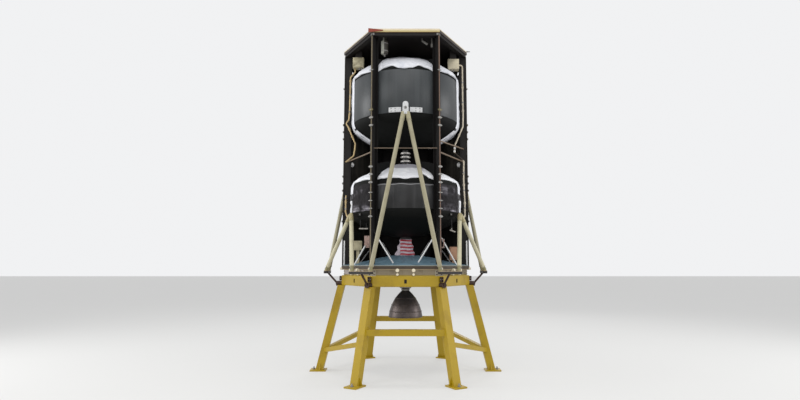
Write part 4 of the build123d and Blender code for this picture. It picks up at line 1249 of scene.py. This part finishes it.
# %% Base fasteners
base_face, adapter_face, block_face = 0.68416, 0.67115, 0.752
base_row, adapter_row, knob_half = 1.213, 1.172, 0.09
rows = [(side * (0.15 + 0.03 * i), base_row) for side in (-1, 1) for i in range(8)]
fasten("base_bolts", bolt(0.004), around(base_face, face_angles, rows), "rim_brown")
rows = [(across, adapter_row) for across in (-0.27, -0.21, -0.15, 0.15, 0.21, 0.27)]
fasten("adapter_bolts", bolt(0.006), around(adapter_face, face_angles, rows), "adapter_pale")
rows = [(across, z) for z in (1.158, 1.187) for across in (-0.032, 0.032)]
fasten("block_bolts", bolt(0.006), around(block_face, corner_angles, rows), "brown_metal")
knob_reach = 0.024
knob_ends = ((base_face + knob_reach, 1.202, 0.014), (adapter_face + knob_reach, 1.157, 0.009))
cap_profile = ((1, -sink), (1, 0.002), (0.7, 0.0035), (0.3, 0.0035), (0.25, 0.002), (0, 0.002))
for index, (reach, height, radius) in enumerate(knob_ends):
    spots = around(reach, face_angles, [(-knob_half, height), (knob_half, height)])
    cap = lathe([(share * radius, rise) for share, rise in cap_profile], 24)
    fasten(f"knob_cap_{index}", cap, spots, "fitting_white", look="knob_cream")
print("Knob caps:", 2 * len(spots))

# %% [markdown]
# ## Struts and their ends
# A strut is a tube with a threaded end at each side. A six-sided nut locks it against its socket, and a
# cross bolt holds the socket's neck to the foot bar. The nuts follow each strut's own slope, so their
# places come from the same two end points that the CAD struts have.

# %% Strut ends
high_faces, low_faces = (30, 150, 270), (90, 210, 330)
high_apex, low_apex, apex_reach, apex_half = 2.960, 1.825, 0.750, 0.027
foot_height, foot_reach, foot_half = 1.195, 0.963, 0.120
top_nut_along, foot_nut_along, neck_bolt_along, neck_face = 0.066, 0.055, 0.026, 0.0205
top_nuts, foot_nuts, neck_bolts = [], [], []
for face in face_angles:
    for side in (-1, 1):
        apex = high_apex if face in high_faces else low_apex
        top = polar(apex_reach, face, apex, side * apex_half)
        foot = polar(foot_reach, face + 30 * side, foot_height, -side * foot_half)
        line = (foot - top).normalized()
        top_nuts.append((top + line * top_nut_along, line))
        foot_nuts.append((foot - line * foot_nut_along, line))
        away = outward(face + 30 * side)
        away = (away - line * away.dot(line)).normalized()
        neck_bolts.append((foot - line * neck_bolt_along + away * neck_face, away))
fasten("strut_top_nuts", collar(0.0243, 0.0292, 0.012, 6), top_nuts, "strut_olive")
fasten("strut_foot_nuts", collar(0.0208, 0.0275, 0.010, 6), foot_nuts, "strut_olive")
fasten("strut_neck_bolts", bolt(0.006), neck_bolts)
print("Strut nuts:", len(top_nuts) + len(foot_nuts))

# %% Foot bars and brackets
rows = [(across, foot_height) for across in (-0.05, 0, 0.05)]
fasten("foot_bar_bolts", bolt(0.007), around(foot_reach, corner_angles, rows, 0), "brown_metal")
disc_face, disc_height, pin_reach, pin_height, pin_half = 0.850, 1.040, 0.800, 1.102, 0.021
disc = joined(bolt(0.009), collar(0.020, 0.0295, 0.003, 32))
fasten("bracket_bolts", disc, around(disc_face, corner_angles, [(0, disc_height)]), "brown_metal")
shapes = []
for angle in corner_angles:
    ends = [polar(pin_reach, angle, pin_height, side * pin_half) for side in (-1, 1)]
    shapes.append(bar(ends, 0.005, 12))
piece("clevis_pins", joined(*shapes), "vane_grey")
print("Foot bolts:", 3 * len(corner_angles))

# %% Fitting bolts
high_arms = [face + turn for face in high_faces for turn in (-14, -10, 10, 14)]
low_arms = [face + turn for face in low_faces for turn in (-7.5, 7.5)]
high_arm_face, low_arm_face, plate_face = 0.6863, 0.6763, 0.761
spots = around(high_arm_face, high_arms, [(0, 3.023), (0, 3.053)])
spots += around(low_arm_face, low_arms, [(0, 1.850)])
fasten("arm_bolts", bolt(0.005), spots)
bushings = around(plate_face, high_faces, [(0, 3.038)])
fasten("plate_bushings", collar(0.012, 0.019, 0.006, 32), bushings, "engine_metal")
spots = around(plate_face, high_faces, [(0, 2.983), (0, 3.093)])
fasten("plate_bolts", bolt(0.0045), spots, "fitting_white")
print("Fitting bolts:", len(spots))

# %% [markdown]
# ## Pipes
# The feed pipes run down beside the side posts. Couplings join their lengths, a clamp holds them at each
# arm, and two white ceramic beads keep the right pipe off its neighbours. A coupling sits on the pipe's
# line at a height, so one function finds that point and the pipe's direction there.

# %% Pipe fittings
pipe_line = -0.100
left_route = (
    (-0.640, 3.748), (-0.640, 3.700), (-0.698, 3.630), (-0.704, 3.200), (-0.713, 3.076), (-0.750, 3.027),
    (-0.720, 2.985), (-0.628, 2.765), (-0.635, 2.690), (-0.649, 2.613), (-0.747, 2.535),
)
left_low_route = ((-0.736, 2.117), (-0.738, 1.912), (-0.717, 1.845))
right_route = (
    (0.724, 3.790), (0.723, 3.361), (0.725, 3.116), (0.720, 2.985), (0.618, 2.750), (0.611, 2.655),
    (0.726, 2.550), (0.721, 2.310), (0.732, 2.010), (0.730, 1.845),
)


def on_pipe(route, height):
    """The point of a pipe at a height, and its direction there."""
    for (x, z), (next_x, next_z) in zip(route, route[1:]):
        if next_z <= height < z:
            share = (z - height) / (z - next_z)
            line = Vector((next_x - x, 0, next_z - z)).normalized()
            return Vector((x + share * (next_x - x), pipe_line, height)), line


pipe_radius = 0.0085
coupling = joined(collar(pipe_radius, 0.0128, 0.032, 6), collar(pipe_radius, 0.0150, 0.010, 16))
couplings = [(left_route, z) for z in (3.58, 2.955, 2.860)] + [(left_low_route, 2.040)]
couplings += [(right_route, z) for z in (3.500, 3.192, 2.879, 2.246, 2.020)]
fasten("pipe_couplings", coupling, [on_pipe(*spot) for spot in couplings], "pipe_gold")
clamps = [(left_route, z) for z in (3.400, 3.180, 2.960)] + [(left_low_route, z) for z in (2.080, 1.950)]
clamps += [(right_route, z) for z in (3.560, 3.300, 2.400, 2.180, 1.960)]
fasten("pipe_clamps", collar(pipe_radius, 0.0112, 0.016), [on_pipe(*spot) for spot in clamps])
beads = [on_pipe(right_route, z) for z in (2.712, 2.672)]
fasten("pipe_beads", collar(pipe_radius, 0.0150, 0.022, 20), beads, "fitting_white")
print("Couplings:", len(couplings), "clamps:", len(clamps))

# %% [markdown]
# ## Neck, canister and boxes
# The neck's flanges are bolted, the canister is held by two straps and ends in a small valve, and the
# electronics boxes have screwed lids and round connectors below.

# %% Neck and canister
flange_heights, half_flange, flange_circle = (2.558, 2.612, 2.661), 0.007, 0.052
spots = []
for z in flange_heights:
    spots += around(flange_circle, range(0, 360, 36), [(0, z + half_flange)], 0)
fasten("neck_bolts", bolt(0.0038), spots, "neck_metal")
fasten("neck_bands", collar(0.0625, 0.0650, 0.006, 48), stacked(0, 0, flange_heights), "neck_metal")
canister_x, canister_y, canister_bottom = -0.250, -0.520, 3.763
straps = stacked(canister_x, canister_y, (3.800, 3.892))
fasten("canister_straps", collar(0.0405, 0.0428, 0.009, 40), straps)
valve_profile = [(0.014, -sink), (0.014, 0.006), (0.007, 0.009), (0.007, 0.018)]
valve_profile += [(0.010, 0.019), (0.010, 0.026), (0, 0.026)]
valve_spot = (Vector((canister_x, canister_y, canister_bottom)), (0, 0, -1))
fasten("canister_valve", lathe(valve_profile, 16), [valve_spot], look="plug_grey")
print("Neck bolts:", len(spots), "canister straps:", len(straps))

# %% Box lids
lid_thick, screw_inset = 0.003, 0.009
boxes = (
    ("left_box", (-0.598, -0.150, 3.8115), 0.120, 0.107, "box_beige"),
    ("right_box", (0.608, -0.150, 3.7925), 0.120, 0.107, "box_beige"),
    ("left_base_box", (-0.572, -0.245, 1.494), 0.081, 0.096, "base_box"),
    ("right_base_box", (0.574, -0.245, 1.400), 0.072, 0.140, "base_box"),
)
for name, middle, width, tall, look in boxes:
    lid = stamped(plate(width, tall, lid_thick, 0.008), [(middle, (0, -1, 0))])
    x, z = width / 2 - screw_inset, tall / 2 - screw_inset
    offsets = [Vector((side * x, -lid_thick, up * z)) for side in (-1, 1) for up in (-1, 0, 1)]
    screws = [(Vector(middle) + offset, (0, -1, 0)) for offset in offsets]
    piece(name + "_lid", joined(lid, stamped(rivet(0.0032), screws)), "box_beige", look=look)
plug = lathe([(0.012, -sink), (0.012, 0.012), (0.010, 0.014), (0.010, 0.022), (0, 0.022)], 16)
plug_places = ((-0.585, 3.748), (-0.552, 3.748), (0.575, 3.729), (0.612, 3.729))
fasten("box_plugs", plug, [(Vector((x, pipe_line, z)), (0, 0, -1)) for x, z in plug_places])
connectors = (((0.200, -0.5, 3.940), (0.264, -0.5, 3.897)), ((0.316, -0.5, 3.903), (0.316, -0.5, 3.865)))
spots = []
for high, low in connectors:
    high, low = Vector(high), Vector(low)
    spots += [(high.lerp(low, share), low - high) for share in (0.25, 0.5, 0.82)]
fasten("plug_rings", collar(0.0118, 0.0138, 0.005), spots, look="plug_grey")
print("Lids:", len(boxes), "box plugs:", len(plug_places))

# %% Rod plate bolts
rod_plate_face = 0.743
spots = around(rod_plate_face, [240], [(across, z) for z in (1.474, 1.570) for across in (-0.022, -0.090)])
spots += around(rod_plate_face, [300], [(across, z) for z in (1.458, 1.548) for across in (0.010, 0.071)])
fasten("rod_plate_bolts", bolt(0.005), spots)
print("Rod plate bolts:", len(spots))

# %% [markdown]
# ## The engine
# The photograph hides the engine, so it is finished as engines of this kind are: bolted flanges, bands
# round the chamber, and nuts on the gimbal's pins. Each piece rides on the body that moves it.

# %% Engine details
gimbal_height, hub_bottom, throat_top = 1.140, 1.205, 0.965
throat_circle, hub_circle, engine_pin_end, gimbal_pin_end = 0.0475, 0.122, 0.0795, 0.104
spots = around(throat_circle, range(0, 360, 36), [(0, throat_top)], 0)
fasten("throat_bolts", bolt(0.0032), spots, "engine_metal", body="engine")
bands = stacked(0, 0, (1.086, 1.045, 1.004))
fasten("chamber_bands", collar(0.0748, 0.0785, 0.010, 64), bands, "engine_metal", body="engine")
spots = [(Vector((0, side * engine_pin_end, gimbal_height)), (0, side, 0)) for side in (-1, 1)]
fasten("engine_pin_nuts", bolt(0.010), spots, "engine_metal", body="engine")
spots = [(Vector((side * gimbal_pin_end, 0, gimbal_height)), (side, 0, 0)) for side in (-1, 1)]
fasten("gimbal_pin_nuts", bolt(0.009), spots, "engine_metal", body="gimbal")
spots = [(polar(hub_circle, face, hub_bottom), (0, 0, -1)) for face in face_angles]
fasten("hub_bolts", bolt(0.006), spots, "engine_metal")
print("Engine pieces ride on: engine, gimbal, root")

# %% [markdown]
# ## The stand
# The stand is welded from square tube. A weld is a row of small overlapping ripples, so its bead is a bar
# whose radius swells every few millimetres. Anchor bolts hold the feet to the floor.


# %% Stand welds and anchors
ripple = 0.004


def weld(corners, radius=0.006):
    """A rippled bead along straight runs."""
    points, radii = [], []
    for first, second in zip(corners, corners[1:]):
        count = max(int((second - first).length / ripple), 1)
        for i in range(count):
            points.append(first.lerp(second, i / count))
            radii.append(radius * (1.0 + 0.14 * math.sin(math.pi * len(points) / 1.5)))
    return bar(points + [corners[-1]], radii + [radius], 6)


half_leg, leg_foot, foot_weld, leg_head, head_weld = 0.045, 1.035, 0.017, 0.785, 1.019
foot_seam = ((-1, -1), (1, -1), (1, 1), (-1, 1), (-1, -1))
head_seam = ((0.024, -1), (0, -1), (0, 1), (0.024, 1))
shapes = []
for angle in corner_angles:
    foot_line = [polar(leg_foot + x * half_leg, angle, foot_weld, y * half_leg) for x, y in foot_seam]
    head_line = [polar(leg_head - half_leg + x, angle, head_weld, y * half_leg) for x, y in head_seam]
    shapes += [weld(foot_line), weld(head_line)]
piece("stand_welds", joined(*shapes), "stand_yellow")
anchor = joined(
    lathe([(0.019, -sink), (0.019, 0.003), (0, 0.003)], 20),
    lathe([(0.0135, 0.003), (0.0135, 0.014), (0.012, 0.016), (0, 0.016)], 6),
    lathe([(0.0075, 0.016), (0.0075, 0.030), (0.006, 0.032), (0, 0.032)], 12),
)
anchor_reach, foot_plate_top = 1.105, 0.016
spots = around(anchor_reach, corner_angles, [(0, foot_plate_top)], 0)
fasten("anchor_bolts", anchor, spots)
print("Welds:", len(shapes), "anchors:", len(spots))

# %% [markdown]
# ## Floor and light
# The hall is white, with long rows of lamps overhead, so the light is broad and comes from every side.
# Eight large soft lamps and a pale world give that. The world is twice as bright to the camera and in
# reflections as the light that it sheds, so the walls look white without washing out the dark bay.


# %% Stage
def plain(name, colour, glow):
    """A pale floor that glows a little, so that it stays pale far from the lamps."""
    shader, place = start(name)
    cloud = grain(place, 0.6, 2)
    light = srgb(*colour)
    base = blend(cloud, light, tuple(c * 0.97 for c in light))
    connect(shader, Base_Color=base, Roughness=0.9, Emission_Color=(1, 1, 1, 1), Emission_Strength=glow)


plain("floor_pale", (156, 156, 154), 0.40)
floor_mesh = bpy.data.meshes.new("floor")
half_floor = 60.0
floor_corners = [(x * half_floor, y * half_floor, 0) for x, y in ((-1, -1), (1, -1), (1, 1), (-1, 1))]
floor_mesh.from_pydata(floor_corners, [], [(0, 1, 2, 3)])
floor = bpy.data.objects.new("floor", floor_mesh)
floor_mesh.materials.append(finish["floor_pale"])
bpy.context.scene.collection.objects.link(floor)
floor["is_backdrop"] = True

world = bpy.data.worlds.new("hall")
bpy.context.scene.world = world
world.use_nodes = True
background = world.node_tree.nodes["Background"]
light_path = world.node_tree.nodes.new("ShaderNodeLightPath")
rays = ("Is Camera Ray", "Is Glossy Ray", "Is Transmission Ray")
seen = [Wire(world.node_tree, light_path.outputs[ray]) for ray in rays]
shows = (seen[0] + seen[1] + seen[2]).clamp()
background.inputs["Color"].default_value = (0.88, 0.885, 0.895, 1)
world.node_tree.links.new((shows * 0.5 + 0.5).socket, background.inputs["Strength"])


def lamp(name, place, target, size, power):
    """A square soft lamp that points at a target."""
    data = bpy.data.lights.new(name, "AREA")
    data.size = size
    data.energy = power
    thing = bpy.data.objects.new(name, data)
    thing.location = place
    thing.rotation_euler = (Vector(target) - Vector(place)).to_track_quat("-Z", "Y").to_euler()
    bpy.context.scene.collection.objects.link(thing)


lamp("overhead", (0, -1.5, 8.5), (0, 0, 2), 6.0, 210)
lamp("front_high", (0, -6, 6.8), (0, 0, 2.2), 4.0, 90)
lamp("front_left", (-5.5, -7, 5), (0, 0, 2), 3.5, 130)
lamp("front_right", (6, -6, 4), (0, 0, 2), 3.5, 90)
lamp("front_low", (0, -8, 1.4), (0, 0, 2.3), 5.0, 50)
lamp("left_side", (-8, -0.8, 3.2), (0, 0, 2.6), 3.0, 260)
lamp("right_side", (8, -0.8, 3.2), (0, 0, 2.6), 3.0, 200)
lamp("behind", (2, 7, 6), (0, 0, 2.5), 4.0, 150)
print("Lamps:", len(bpy.data.lights))

# %% The sizes
low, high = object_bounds()
print("Pieces:", len(pieces), "top at", round(high.z, 3))
